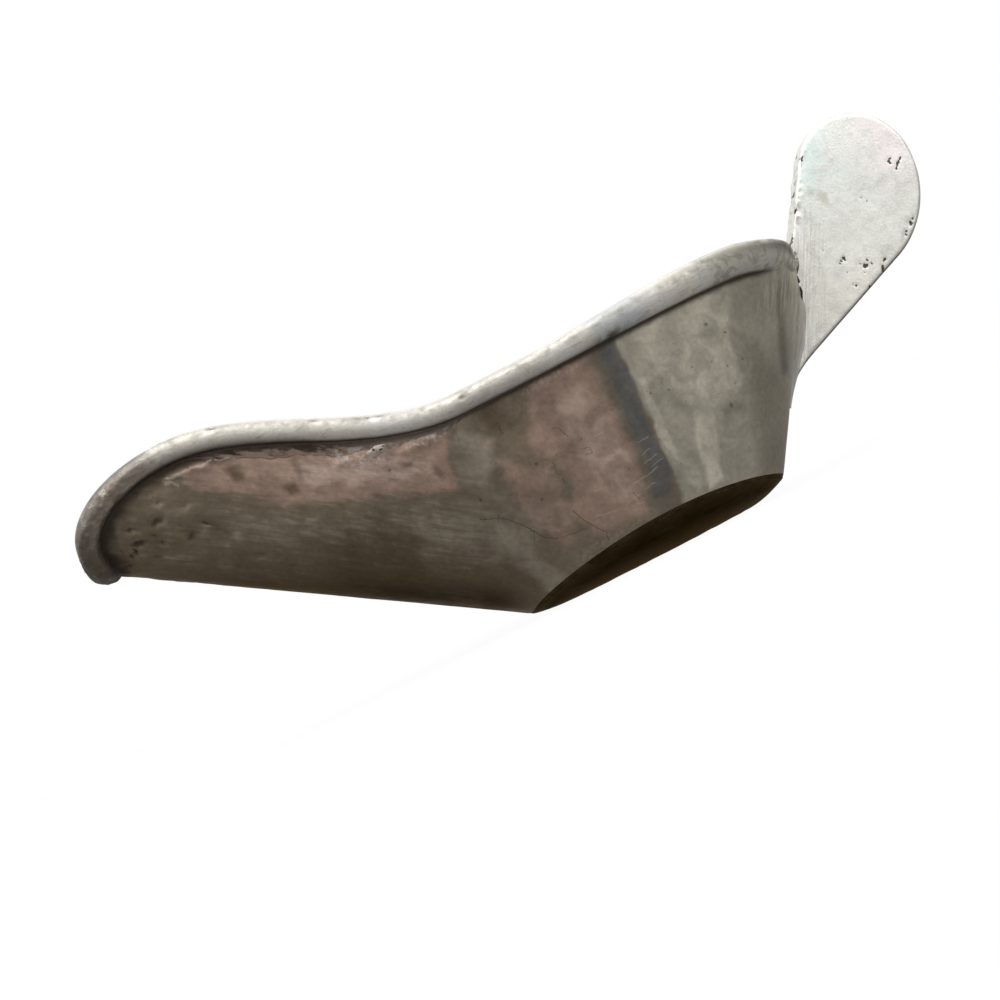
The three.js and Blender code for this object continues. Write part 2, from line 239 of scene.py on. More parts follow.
def addObject(name, data):
    made = bpy.data.objects.new(name, data)
    bpy.context.scene.collection.objects.link(made)
    return made


# Makes a mesh from points and faces. Each mask is kept as a value at every point.
def makePiece(name, points, faces, masks=None):
    mesh = bpy.data.meshes.new(name)
    placed = (np.asarray(points, float).reshape(-1, 3) + [cornerX, 0, 0]) * mm
    mesh.from_pydata(placed.tolist(), [], [list(map(int, f)) for f in faces])
    for maskName, values in (masks or {}).items():
        layer = mesh.attributes.new(maskName, "FLOAT", "POINT")
        spread = np.broadcast_to(values, np.shape(points)[:-1])
        layer.data.foreach_set("value", spread.astype(np.float32).ravel())
    mesh.update()
    mesh.shade_smooth()
    shape = bmesh.new()
    shape.from_mesh(mesh)
    if shape.calc_volume(signed=True) < 0:
        mesh.flip_normals()
    shape.free()
    return addObject(name, mesh)


# Marks, given in the side view


# distance from the places (x, z) to a line through points
def lineDistance(x, z, points):
    nearest = np.full(np.shape(x), 1e9)
    for (ax, az), (bx, bz) in zip(points, points[1:]):
        dx, dz = bx - ax, bz - az
        t = np.clip(((x - ax) * dx + (z - az) * dz) / (dx * dx + dz * dz + 1e-9), 0, 1)
        nearest = np.minimum(nearest, np.hypot(x - ax - t * dx, z - az - t * dz))
    return nearest


# 1 inside an outline and 0 outside, soft over the given width
def area(x, z, outline, soft):
    inside = np.zeros(np.shape(x), bool)
    closed = outline + outline[:1]
    for (ax, az), (bx, bz) in zip(closed, closed[1:]):
        crosses = (az > z) != (bz > z)
        at = ax + (z - az) * (bx - ax) / (bz - az if bz != az else 1e-9)
        inside ^= crosses & (x < at)
    distance = np.where(inside, -1, 1) * lineDistance(x, z, closed)
    return smooth(distance, soft, -soft)


# Finishes


# Puts the nodes of one tree together
class Nodes:
    def __init__(self, tree):
        self.tree = tree

    def add(self, kind, values=None, **settings):
        node = self.tree.nodes.new("ShaderNode" + kind)
        for key, value in settings.items():
            setattr(node, key, value)
        for key, value in (values or {}).items():
            self.put(node.inputs[key], value)
        return node

    def put(self, socket, value):
        if isinstance(value, bpy.types.NodeSocket):
            self.tree.links.new(value, socket)
        else:
            socket.default_value = value

    def vector(self, operation, values):
        return self.add("VectorMath", values, operation=operation).outputs

    def mix(self, factor, a, b, blend="MIX"):
        a = (*a, 1) if isinstance(a, tuple) else a
        b = (*b, 1) if isinstance(b, tuple) else b
        return self.add("Mix", {0: factor, 6: a, 7: b}, data_type="RGBA", blend_type=blend).outputs[2]

    def range(self, value, low, high, toLow=0.0, toHigh=1.0, kind="SMOOTHSTEP"):
        values = {"Value": value, "From Min": low, "From Max": high, "To Min": toLow, "To Max": toHigh}
        return self.add("MapRange", values, interpolation_type=kind).outputs["Result"]


# One finish: a colour with coats over it. Factors are multiplied, and a word in place of
# a value stands for the piece's mask of that name.
class Finish(Nodes):
    def __init__(self, name, tones):
        self.material = bpy.data.materials.new(name)
        self.material.use_nodes = True
        super().__init__(self.material.node_tree)
        self.tones = tones
        spot = self.add("TexCoord").outputs["Object"]
        scaled = self.vector("SCALE", {0: spot, 3: 1 / mm})[0]
        self.place = self.vector("ADD", {0: scaled, 1: (-cornerX, 0, 0)})[0]

    def read(self, value):
        if isinstance(value, str):
            return self.add("Attribute", attribute_name=value).outputs["Fac"]
        return value

    def chain(self, operation, values):
        total, *others = [self.read(v) for v in values]
        for other in others:
            total = self.add("Math", {0: total, 1: other}, operation=operation).outputs[0]
        return total

    def times(self, *values):
        return self.chain("MULTIPLY", values)

    def plus(self, *values):
        return self.chain("ADD", values)

    def span(self, value, *limits):
        return self.range(self.read(value), *limits)

    # mottle with spots about as wide as size, stretched along an axis by the share given,
    # after a turn about the boat's cross axis in degrees
    def noise(self, size, detail=3, stretch=(1, 1, 1), warp=0, turn=0):
        where = self.place
        if turn:
            values = {"Vector": where, "Angle": math.radians(turn)}
            where = self.add("VectorRotate", values, rotation_type="Y_AXIS").outputs[0]
        where = self.vector("MULTIPLY", {0: where, 1: stretch})[0]
        values = {"Vector": where, "Scale": 1 / size, "Detail": detail, "Roughness": 0.55}
        return self.add("TexNoise", {**values, "Distortion": warp}).outputs["Fac"]

    # the colour, darker and lighter along a pattern: its limits, then the two shares
    def shaded(self, colour, pattern, *limits):
        value = self.span(pattern, *limits)
        grey = self.add("CombineColor", {0: value, 1: value, 2: value}).outputs[0]
        return self.mix(1.0, colour, grey, "MULTIPLY")

    def vary(self, pattern, *limits):
        self.colour = self.shaded(self.colour, pattern, *limits)

    def coat(self, tone, *factors):
        tone = self.tones[tone] if isinstance(tone, str) else tone
        self.colour = self.mix(self.times(*factors), self.colour, tone)

    def parts(self):
        return self.add("SeparateXYZ", {0: self.place}).outputs

    # the place in the side view, made to wander so that marks waver
    def sideView(self, scale, sway):
        jitter = self.add("TexNoise", {"Vector": self.place, "Scale": scale, "Detail": 3}).outputs["Color"]
        shifted = self.vector("ADD", {0: jitter, 1: (-0.5, -0.5, -0.5)})[0]
        scaled = self.vector("SCALE", {0: shifted, 3: sway})[0]
        wandered = self.vector("ADD", {0: self.place, 1: scaled})[0]
        return self.vector("MULTIPLY", {0: wandered, 1: (1, 0, 1)})[0]

    # the strongest of several marks. Each is a run of side-view points and a width.
    def marks(self, place, marks):
        total = 0.0
        for points, width in marks:
            for (ax, az), (bx, bz) in zip(points, points[1:] or points):
                values = {"Before": total, "Place": place, "Start": (ax, 0, az), "Width": width}
                values["Run"] = (bx - ax + 1e-4, 0, bz - az)
                total = self.add("Group", values, node_tree=markGroup).outputs[0]
        return total

    # roughness along a pattern, less and more than the finish's own
    def rough(self, pattern, less, more):
        usual = self.tones["roughness"]
        return self.span(pattern, 0.3, 0.7, usual - less, usual + more)

    def done(self, roughness, metallic, height, depth, tint=(1.0, 1.0, 1.0, 1.0)):
        bump = self.add("Bump", {"Height": height, "Distance": depth * mm, "Strength": 1.0}).outputs[0]
        values = {"Base Color": self.colour, "Roughness": roughness, "Metallic": metallic}
        for key, value in {**values, "Specular Tint": tint, "Normal": bump}.items():
            self.put(self.tree.nodes["Principled BSDF"].inputs[key], value)
        return self.material


# A short straight mark in the side view: a crack, a scratch or a pit. Each mark waits for
# the one before it, so that a long list of them fits into one finish.
def makeMarkGroup():
    group = bpy.data.node_groups.new("mark", "ShaderNodeTree")
    sockets = {"Before": "Float", "Place": "Vector", "Start": "Vector", "Run": "Vector", "Width": "Float"}
    for name, kind in sockets.items():
        group.interface.new_socket(name, in_out="INPUT", socket_type="NodeSocket" + kind)
    group.interface.new_socket("After", in_out="OUTPUT", socket_type="NodeSocketFloat")
    before, place, start, run, width = list(group.nodes.new("NodeGroupInput").outputs)[:5]
    n = Nodes(group)
    waited = n.vector("MULTIPLY_ADD", {0: before, 1: (1e-7, 1e-7, 1e-7), 2: place})[0]
    away = n.vector("SUBTRACT", {0: waited, 1: start})[0]
    along = n.vector("DOT_PRODUCT", {0: away, 1: run})[1]
    square = n.vector("DOT_PRODUCT", {0: run, 1: run})[1]
    share = n.add("Math", {0: along, 1: square}, operation="DIVIDE", use_clamp=True).outputs[0]
    foot = n.vector("SCALE", {0: run, 3: share})[0]
    left = n.vector("SUBTRACT", {0: away, 1: foot})[0]
    distance = n.vector("LENGTH", {0: left})[1]
    edge = n.range(distance, 0, width, 1, 0)
    after = n.add("Math", {0: before, 1: edge}, operation="MAXIMUM").outputs[0]
    n.put(group.nodes.new("NodeGroupOutput").inputs["After"], after)
    return group


markGroup = makeMarkGroup()


# Rim band: half-round, rubbed bright on top, pitted and brown round the lip

band = {
    "heightBack": 4.9,
    "heightBowl": 3.2,
    "heightSpout": 3.4,
    "heightLip": 5.2,
    "bulge": 2.1,
    "bulgeAtHandle": 1.1,
    "cap": 1.0,  # how far it stands above the edge of the wall
    "feather": 0.9,  # how far below the band it was filed smooth beside the handle
    "filedOff": 0.9,  # share of its bulge that was filed away there
    "pressedIn": 2.0,
    "pressedDown": 1.5,
    "filedWidth": 18.5,  # it was filed this far on both sides of the handle, fading over the next part
    "filedFade": 7,
    "stations": 1000,
    "steps": 33,  # points round its outer face
    "nicks": [  # x on the rim, degrees up from straight out, length, depth
        (-41.9, 62, 1.3, 0.3), (-25.4, 66, 1.0, 0.28), (-18.6, 68, 1.4, 0.26), (-16.9, 64, 0.8, 0.3),
        (-15.0, 70, 1.5, 0.28), (-0.8, 20, 0.9, 0.2), (49.5, 60, 1.2, 0.2), (62.0, 66, 2.0, 0.3),
        (65.5, 72, 1.2, 0.3),
    ],
}


def bandHeight(points):
    x, y = points[..., 0], points[..., 1]
    bowl = lerp(band["heightBowl"], band["heightBack"], smooth(x, hull["sternStart"], hull["sternTop"]))
    spout = lerp(bowl, band["heightSpout"], smooth(-x, 0, hull["crestReach"]))
    fromKeel = np.where(x < -hull["crestReach"], np.abs(y), hull["spoutWidth"])
    return lerp(band["heightLip"], spout, smooth(fromKeel, 0, hull["spoutWidth"] * 0.4))


def bandBulge(points):
    x, y = points[..., 0], points[..., 1]
    thin = lerp(band["bulgeAtHandle"], band["bulge"], smooth(np.abs(y), 4.4, 20))
    return np.where(x < hull["widestAt"], band["bulge"], thin)


# Wall: hammered, dented near the lip, with the film, stains and cracks of long use, painted shade low down
# and below the band, and painted reflections

wall = {
    "thickness": 1.8,
    "stations": 700,
    "rows": 98,
    "innerRows": 34,
    "hammer": 0.06,  # depth of the hammer's soft facets
    "footLift": 2.06,  # inside, the wall starts at the upper edge of the base
    "skirtLift": 0.5,  # outside, it was hammered down over that edge
    "dents": [  # x, z, length, width, tilt in degrees, depth
        (-57.7, 46.9, 2.6, 1.2, 12, 0.4), (-62.7, 47.6, 2.3, 0.9, -10, 0.36),
        (-62.4, 44.8, 2.8, 1.0, -8, 0.5), (-63.9, 43.6, 2.2, 0.7, 18, 0.42),
        (-58.8, 43.2, 1.1, 0.6, 0, 0.34), (-53.4, 41.9, 2.2, 1.3, 25, 0.3),
        (-47.5, 39.5, 2.6, 1.6, 10, 0.24), (-65.6, 42.1, 2.4, 0.8, -12, 0.34),
        (-61.7, 49.9, 1.4, 0.6, 35, 0.3), (-50.1, 42.8, 1.5, 0.45, -58, 0.42),
        (-66.8, 46.3, 1.6, 0.7, 30, 0.3), (-60.4, 41.4, 1.8, 0.6, -24, 0.26),
        (-44.0, 33.5, 3.0, 1.0, -20, 0.16), (-39.0, 29.0, 3.4, 1.2, -25, 0.15),
        (-55.0, 37.6, 2.6, 0.8, -20, 0.2), (-60.8, 46.6, 1.2, 0.5, 20, 0.3),
        (-59.4, 45.0, 1.0, 0.45, -30, 0.3), (-64.4, 48.9, 1.6, 0.6, 50, 0.36),
        (-65.3, 45.0, 1.1, 0.5, 10, 0.34), (-56.4, 49.6, 1.5, 0.6, 40, 0.3),
        (-54.6, 44.6, 1.3, 0.5, -10, 0.24), (-52.0, 47.4, 1.7, 0.7, 15, 0.2),
    ],
    "ridges": [  # raised lines of run solder: points, width, height
        ([(-52.8, 52.9), (-51.6, 52.7), (-49.8, 52.6), (-48.1, 52.7), (-46.5, 52.1)], 0.55, 0.28),
        ([(-46.5, 52.1), (-44.6, 52.4), (-42.9, 51.7), (-41.2, 51.4)], 0.5, 0.22),
        ([(-53.5, 52.2), (-52.4, 51.9)], 0.4, 0.2),
        ([(-60.5, 51.6), (-58.6, 51.4), (-56.4, 52.6), (-54.6, 53.2)], 0.5, 0.22),
        ([(-62.6, 50.2), (-61.4, 48.6)], 0.4, 0.2),
        ([(-13.2, 38.1), (-11.2, 38.3), (-8.9, 37.8)], 1.1, 0.3),
        ([(-24.5, 41.2), (-20.5, 40.4)], 1.4, 0.22),
    ],
}


def wallRelief(points):
    x, y, z = points[..., 0], points[..., 1], points[..., 2]
    near = y < 0
    dented = np.zeros(x.shape)
    relief = wall["hammer"] * (swell(points, 9, 1) + 0.55 * swell(points, 4.2, 2))
    relief += 0.25 * wall["hammer"] * swell(points, 1.5, 3)
    towardLip = smooth(-x, 38, 62)
    relief += 0.11 * towardLip * swell(points * [0.6, 1, 1], 1.9, 4)
    relief += 0.07 * towardLip * swell(points * [0.5, 1, 1], 0.8, 7)
    for dx, dz, long, wide, tilt, depth in wall["dents"]:
        turn = math.radians(tilt)
        along = (x - dx) * math.cos(turn) + (z - dz) * math.sin(turn)
        across = (z - dz) * math.cos(turn) - (x - dx) * math.sin(turn)
        off = (along / long * 1.6) ** 2 + (across / wide * 1.6) ** 2
        bowl = np.exp(-(off**1.2)) * (1 + 0.3 * swell(points, 1.4, 6))
        relief -= near * 1.5 * depth * bowl
        relief += near * 0.12 * depth * np.exp(-((np.sqrt(off) - 1.5) ** 2) * 6)
        dented = np.maximum(dented, near * bowl * depth / 0.5)
    for line, width, height in wall["ridges"]:
        wander = 0.35 * swell(points, 1.3, 5)
        distance = lineDistance(x + wander, z - wander, line)
        relief += near * height * np.exp(-((distance / width) ** 2))
    return relief, dented


# Tones in soft-edged areas of the side view, each on one of the wall finish's masks: stains of the film,
# and on the pink and the dark upright masks painted reflections
stains = {  # for each mask: strength, softness, outline
    # painted reflection of a pink thing over the spout and the front of the bowl, ragged like the film
    "rosyReflection": [
        (1.0, 1.5, [(-50.5, 54), (-49.6, 49.4), (-42.6, 45.0), (-36.6, 39.6), (-30.3, 37.1),
            (-20.5, 33.0), (-13.1, 29.7), (-7.6, 27.3), (-7.3, 31), (-6.6, 35), (-5.3, 37.6), (-14, 40),
            (-24, 44), (-36, 50)]),
        (0.8, 1.6, [(10.7, 39), (5.9, 30), (9.7, 20.3), (8.5, 14.3), (11, 9), (16, 8.4), (22, 9),
            (23.4, 16), (23.9, 26), (22.6, 39)]),
        (0.65, 2.6, [(0, 36), (1, 30), (9, 25), (9, 11), (5, 9), (0, 20)]),
    ],
    "blush": [
        (0.7, 1.4, [(-33, 44), (-30, 39.8), (-16, 33.8), (-11, 33), (-12, 36.5), (-22, 40.6), (-31, 45)]),
        (0.5, 2.4, [(13, 34), (13, 22), (17, 12), (22, 11), (22, 24), (20, 35)]),
    ],
    # painted reflection of a dark upright thing: a narrow dark band down the side of the bowl
    "darkReflection": [
        (0.95, 0.9, [(23.6, 38.5), (24.5, 32.9), (24.7, 26.3), (24.4, 21.5), (24.5, 16.7), (23.6, 12.2),
            (23, 10), (26.6, 9.8), (28.6, 12.9), (28.7, 17.7), (27.9, 20.6), (28.3, 26.1), (28.3, 31.7),
            (27.8, 39)]),
        (0.55, 2.6, [(21.6, 38.5), (22.6, 26), (22.6, 13), (22, 5), (27, 5), (28, 22), (27.6, 38.5)]),
    ],
    "pale": [
        (0.75, 1.8, [(32.5, 40), (33.5, 30), (35.5, 24), (40, 19), (45, 17), (49, 22), (50.6, 33.3),
            (52.4, 39), (45, 41)]),
        (0.6, 0.9, [(33.2, 38.1), (34.4, 33), (37.5, 28), (41, 25.5), (44.5, 29), (45.8, 38)]),
        (0.7, 0.8, [(37.2, 21.5), (35.2, 15), (33.6, 7.5), (37.2, 8), (39.6, 14), (41.8, 21.5)]),
        (0.5, 0.7, [(29.4, 15), (29.6, 9.5), (33.2, 8.6), (33.4, 14)]),
        (0.6, 0.5, [(29.2, 31), (29.2, 26), (28.7, 20.6), (30, 17), (30.4, 10), (31.4, 10), (31, 24),
            (30.6, 31)]),
        (0.35, 1.6, [(52.8, 33), (51, 24), (57, 21), (62, 33)]),
    ],
    "dim": [
        (0.35, 3.2, [(43, 4), (55, 30), (57.5, 37), (61.5, 37), (61.5, 29), (70, 26), (72, 20), (58, 0)]),
        (0.35, 0.9, [(51.4, 27), (52.2, 33), (53.4, 40), (62, 42), (60, 34), (55, 25)]),
    ],
    "shade": [
        (0.22, 2.2, [(48, 18), (52, 29), (54, 29), (60, 16), (54, 3), (46, 4)]),
        (0.45, 1.6, [(0.4, 41), (0.8, 33.5), (4.6, 33.5), (5.4, 41)]),
        (0.12, 2.4, [(-6, 22), (-2, 27), (6, 26), (7.6, 17), (4.5, 10.5), (0.4, 13.5)]),
        (0.45, 3, [(-34, 31), (-22, 30), (-18, 24), (-18, 15), (-30, 20)]),
        (0.3, 2.4, [(-60, 47), (-50, 44), (-44, 40), (-50, 38), (-62, 43)]),
        (0.6, 0.5, [(-43.2, 50), (-40.6, 49.6), (-40.9, 47), (-42.6, 47.3)]),
        (0.6, 0.4, [(-35.6, 42.6), (-33.2, 42.2), (-32.6, 40), (-34.9, 39.8)]),
        (0.45, 0.6, [(-31.5, 46.4), (-30.6, 43), (-31.6, 41.2), (-32.4, 44.5)]),
        (0.5, 0.5, [(-15.3, 36.7), (-12.8, 36.2), (-13.3, 35), (-15, 35.5)]),
        (0.45, 0.4, [(-9.8, 33.6), (-9.1, 31.5), (-10.1, 30.4), (-10.6, 32.4)]),
        (0.35, 1.0, [(42.2, 19.5), (46.8, 20.2), (46.4, 18), (43, 17.4)]),
        (0.45, 0.8, [(64.6, 36.4), (62.6, 31.3), (61, 27), (59.4, 20), (61.4, 20), (63, 27), (65, 31.5),
            (66.2, 35.5)]),
    ],
    "smear": [
        (0.8, 0.8, [(-26, 43.4), (-22.8, 39.4), (-17.5, 38.6), (-16.5, 41)]),
        (0.9, 0.5, [(-13.6, 38.7), (-10.8, 37.6), (-8.4, 37.4), (-3.4, 38.6), (-4, 39.4), (-9, 38.7)]),
        (0.4, 0.7, [(9, 38), (14, 37.2), (20, 37.4), (22, 39), (12, 39.5)]),
    ],
    "light": [
        (1.0, 1.2, [(28.2, 42), (28.4, 32), (28.8, 20), (28.2, 6), (60, 2), (84, 44), (60, 48)]),
    ],
    "grey": [
        (0.7, 0.9, [(-6.4, 21.9), (-4.2, 11.6), (0.6, 3.3), (2.6, 2.6), (4.4, 4.6), (-0.6, 12),
            (-4.4, 22.4)]),
        (0.55, 1.3, [(-3.6, 37.7), (-7.0, 36), (-7.4, 28), (-1.8, 25.1), (2.2, 34.0)]),
        (0.35, 2.4, [(-56, 45), (-40, 40), (-30, 34), (-20, 30), (-12, 27), (-20, 24), (-34, 30),
            (-56, 41)]),
        (0.5, 3, [(-22, 28), (-10, 26), (2, 24), (4, 14), (0, 9), (-8, 13), (-18, 21)]),
    ],
}


def wallMasks(points):
    x, y, z = np.moveaxis(points, -1, 0)
    far = y > 0
    warpX = 0.6 * swell(points, 5, 11) + 0.3 * swell(points, 1.8, 12)
    warpZ = 0.6 * swell(points, 5, 13) + 0.3 * swell(points, 1.8, 14)
    stainX = x + warpX * (1 + 2 * far) + 6 * far
    stainZ = z + warpZ * (1 + 2 * far)
    masks = {}
    for name, areas in stains.items():
        layers = [share * area(stainX, stainZ, outline, soft * (1 + far)) for share, soft, outline in areas]
        masks[name] = np.max(layers, axis=0) * np.where(far, 0.7, 1)
    keel = np.maximum(-hull["keelSlope"] * x, 0)
    up = np.clip((z - keel) / (rimLevel(x) - keel), 0, 1)
    # painted shade with the tarnish that gathers low: the wall darker towards its bottom, less over the
    # bowl and near the lip
    bright = smooth(x, -8, 5) * (1 - 0.4 * smooth(x, 42, 55)) + 0.35 * smooth(-x, 40, 62)
    masks["low"] = (0.75 * smooth(up, 0.42, 0) + 0.25 * smooth(up, 0.09, 0)) * (1 - bright)
    rimHere = [tuple(p) for p in rimLine[::8]] + [tuple(rimLine[-1])]
    below = lineDistance(x, z, rimHere) - bandHeight(points)
    # painted shadow on the wall just below the band, wider toward the lip, none where it was filed
    spread = 1.5 + (2.4 + 1.6 * swell(points, 1.6, 15)) * smooth(-x, 36, 46)
    masks["shadowBelowBand"] = smooth(below, spread, -0.4) * (1 - dressed(points))
    masks["filed"] = smooth(x, 50, 58) * smooth(np.abs(y), 16, 7) * smooth(z, 14, 22)
    # painted shade along the spout's keel, where the wall turns to face down
    masks["keel"] = smooth(up, 0.17, 0) * smooth(-x, 1, 9) * smooth(-x, 40, 26)
    masks["dressed"] = dressed(points) * smooth(z, 28, 36)
    return masks


# 1 where solder was run and filed smooth at the back, on both sides of the handle
def dressed(points):
    away = np.abs(points[..., 1])
    edge = band["filedWidth"]
    return smooth(points[..., 0], 50, 58) * smooth(away, edge + band["filedFade"], edge)


# the rim beside the handle, hammered in toward the bowl and down
def pressed(points):
    y, z = np.abs(points[..., 1]), points[..., 2]
    back = smooth(points[..., 0], 55, 65)
    forward = smooth(z, 34, 41) * smooth(y, 2.5, 7) * smooth(y, 21, 13)
    down = smooth(z, 37, 42) * smooth(y, 23.5, 15)
    moved = points.copy()
    moved[..., 0] -= band["pressedIn"] * back * forward
    moved[..., 2] -= band["pressedDown"] * back * down
    return moved


def makeWall():
    t, side = evenStations(wall["stations"])
    h = np.concatenate([[0, 0.002], np.linspace(0.008, 1, wall["rows"] - 2)])
    plain = hullPoints(t, side, h, wall["skirtLift"])
    relief, dented = wallRelief(plain)
    shown = smooth(h, 0, 0.04) * smooth(h, 0.985, 0.93)
    outer = plain + outward(plain) * (relief * shown)[..., None]
    innerH = np.concatenate([np.linspace(1, 0.01, wall["innerRows"] - 2), [0.002, 0]])
    innerPlain = hullPoints(t, side, innerH, wall["footLift"])
    innerNormal = outward(innerPlain[:, ::-1])[:, ::-1]
    dimple = 0.12 * swell(innerPlain, 7, 21) + 0.04 * swell(innerPlain, 2.5, 22)
    thickness = wall["thickness"] + dimple * smooth(innerH, 1, 0.93)
    inner = innerPlain - innerNormal * thickness[..., None]
    points = pressed(np.concatenate([outer, inner], axis=1))
    masks = wallMasks(np.concatenate([plain, innerPlain], axis=1))
    inside = np.arange(points.shape[1]) >= wall["rows"]
    for name in masks.keys() - {"low"}:
        masks[name] = masks[name] * ~inside
    masks["inside"] = inside
    masks["dented"] = np.concatenate([dented, np.zeros(innerPlain.shape[:2])], axis=1)
    x = plain[..., 0]
    scuffed = smooth(x, 3, 8) * smooth(x, 24, 16) * smooth(h, 0.07, 0.02)
    masks["smear"][:, ~inside] = np.maximum(masks["smear"][:, ~inside], 0.14 * scuffed)
    return makePiece("hammered_wall", points, sheetFaces(numbered(points), True, True), masks)


wallFinish = {
    "film": (0.255, 0.205, 0.145),  # brown film over the grey metal
    # the pink tone is a painted reflection
    "rosyReflection": (0.43, 0.30, 0.235),
    "blush": (0.62, 0.47, 0.385),
    "light": (0.46, 0.42, 0.34),
    "pale": (0.66, 0.61, 0.49),
    "dim": (0.225, 0.195, 0.145),
    "grey": (0.37, 0.325, 0.255),
    # the dark blue-grey tone is a painted reflection
    "darkReflection": (0.17, 0.165, 0.15),
    # the tone of the painted shade low on the wall, and of the areas on the shade mask
    "shade": (0.078, 0.048, 0.018),
    # near-black painted shade along the keel
    "keel": (0.018, 0.009, 0.002),
    "smear": (0.66, 0.56, 0.49),
    "filed": (0.62, 0.57, 0.49),
    "dressed": (0.41, 0.37, 0.29),
    "inside": (0.34, 0.31, 0.26),
    # dirt in dents, cracks and pits, and the painted shadow just below the band
    "grimeAndShade": (0.03, 0.022, 0.014),
    "roughness": 0.38,
    "cracks": [
        ([(-6.4, 21.3), (-3.4, 19.8), (-1.4, 18.4), (0.0, 16.7), (1.4, 15.0), (2.6, 13.0), (4.8, 11.8)],
            0.15),
        ([(4.8, 11.8), (9.6, 11.2)], 0.11),
        ([(1.4, 15.0), (0.7, 13.1)], 0.12),
        ([(-3.2, 20.7), (-3.8, 19.3)], 0.12),
        ([(8.8, 15.1), (9.9, 13.0), (11.1, 11.1), (12.8, 9.0), (12.7, 7.4)], 0.15),
        ([(11.2, 30.0), (12.4, 29.3), (13.2, 27.3)], 0.12),
        ([(8.9, 24.4), (8.8, 22.6), (9.2, 21.8)], 0.13),
        ([(9.3, 21.0), (9.2, 20.0)], 0.13),
        ([(20.1, 13.2), (20.9, 11.6)], 0.14),
        ([(14.2, 24.4), (16.0, 23.9), (16.1, 23.0), (14.9, 23.0)], 0.1),
    ],
    "scratches": [
        ([(17.8, 25.3), (19.5, 25.3)], 0.2),
        ([(17.4, 20.6), (20.2, 20.7)], 0.22),
        ([(20.7, 14.6), (23.5, 14.7)], 0.2),
        ([(11.7, 12.5), (15.9, 11.6)], 0.18),
        ([(18.9, 12.1), (21.4, 12.4)], 0.18),
        ([(19.2, 11.1), (21.4, 10.7)], 0.16),
        ([(13.6, 16.5), (15.2, 16.4)], 0.16),
        ([(24.6, 18.6), (26.4, 18.9)], 0.15),
        ([(24.2, 16.8), (27.2, 17.6)], 0.15),
        ([(25.2, 15.9), (27.8, 16.4)], 0.13),
        ([(23.4, 14.6), (26.2, 15.4)], 0.15),
        ([(24.8, 20.8), (26.8, 21.0)], 0.13),
        ([(22.6, 12.6), (24.6, 13.1)], 0.15),
        ([(-52.8, 52.9), (-50.4, 52.6), (-48.1, 52.7), (-46.5, 52.1), (-44.6, 52.4)], 0.5),
        ([(-53.5, 52.2), (-52.2, 51.9), (-51.6, 50.9)], 0.42),
        ([(-43.6, 52.1), (-41.4, 51.5)], 0.45),
    ],
    "pits": [  # x, z, width
        (4.6, 19.5, 0.5), (6.2, 25.5, 0.5), (-5.2, 24.3, 0.5), (-17.3, 36.3, 0.4), (30.6, 27.8, 0.38),
        (45.9, 34.7, 0.6), (40.0, 28.7, 0.32), (44.1, 28.0, 0.32), (46.9, 26.2, 0.3), (50.7, 26.1, 0.32),
        (49.0, 31.8, 0.36), (44.6, 19.4, 0.8), (34.0, 26.9, 0.28),
    ],
}


# solder that was filed in upright streaks beside the handle, on the wall and the band alike
def dressedTone(f, upright):
    return f.shaded(wallFinish["dressed"], upright, 0.3, 0.7, 0.6, 1.42)


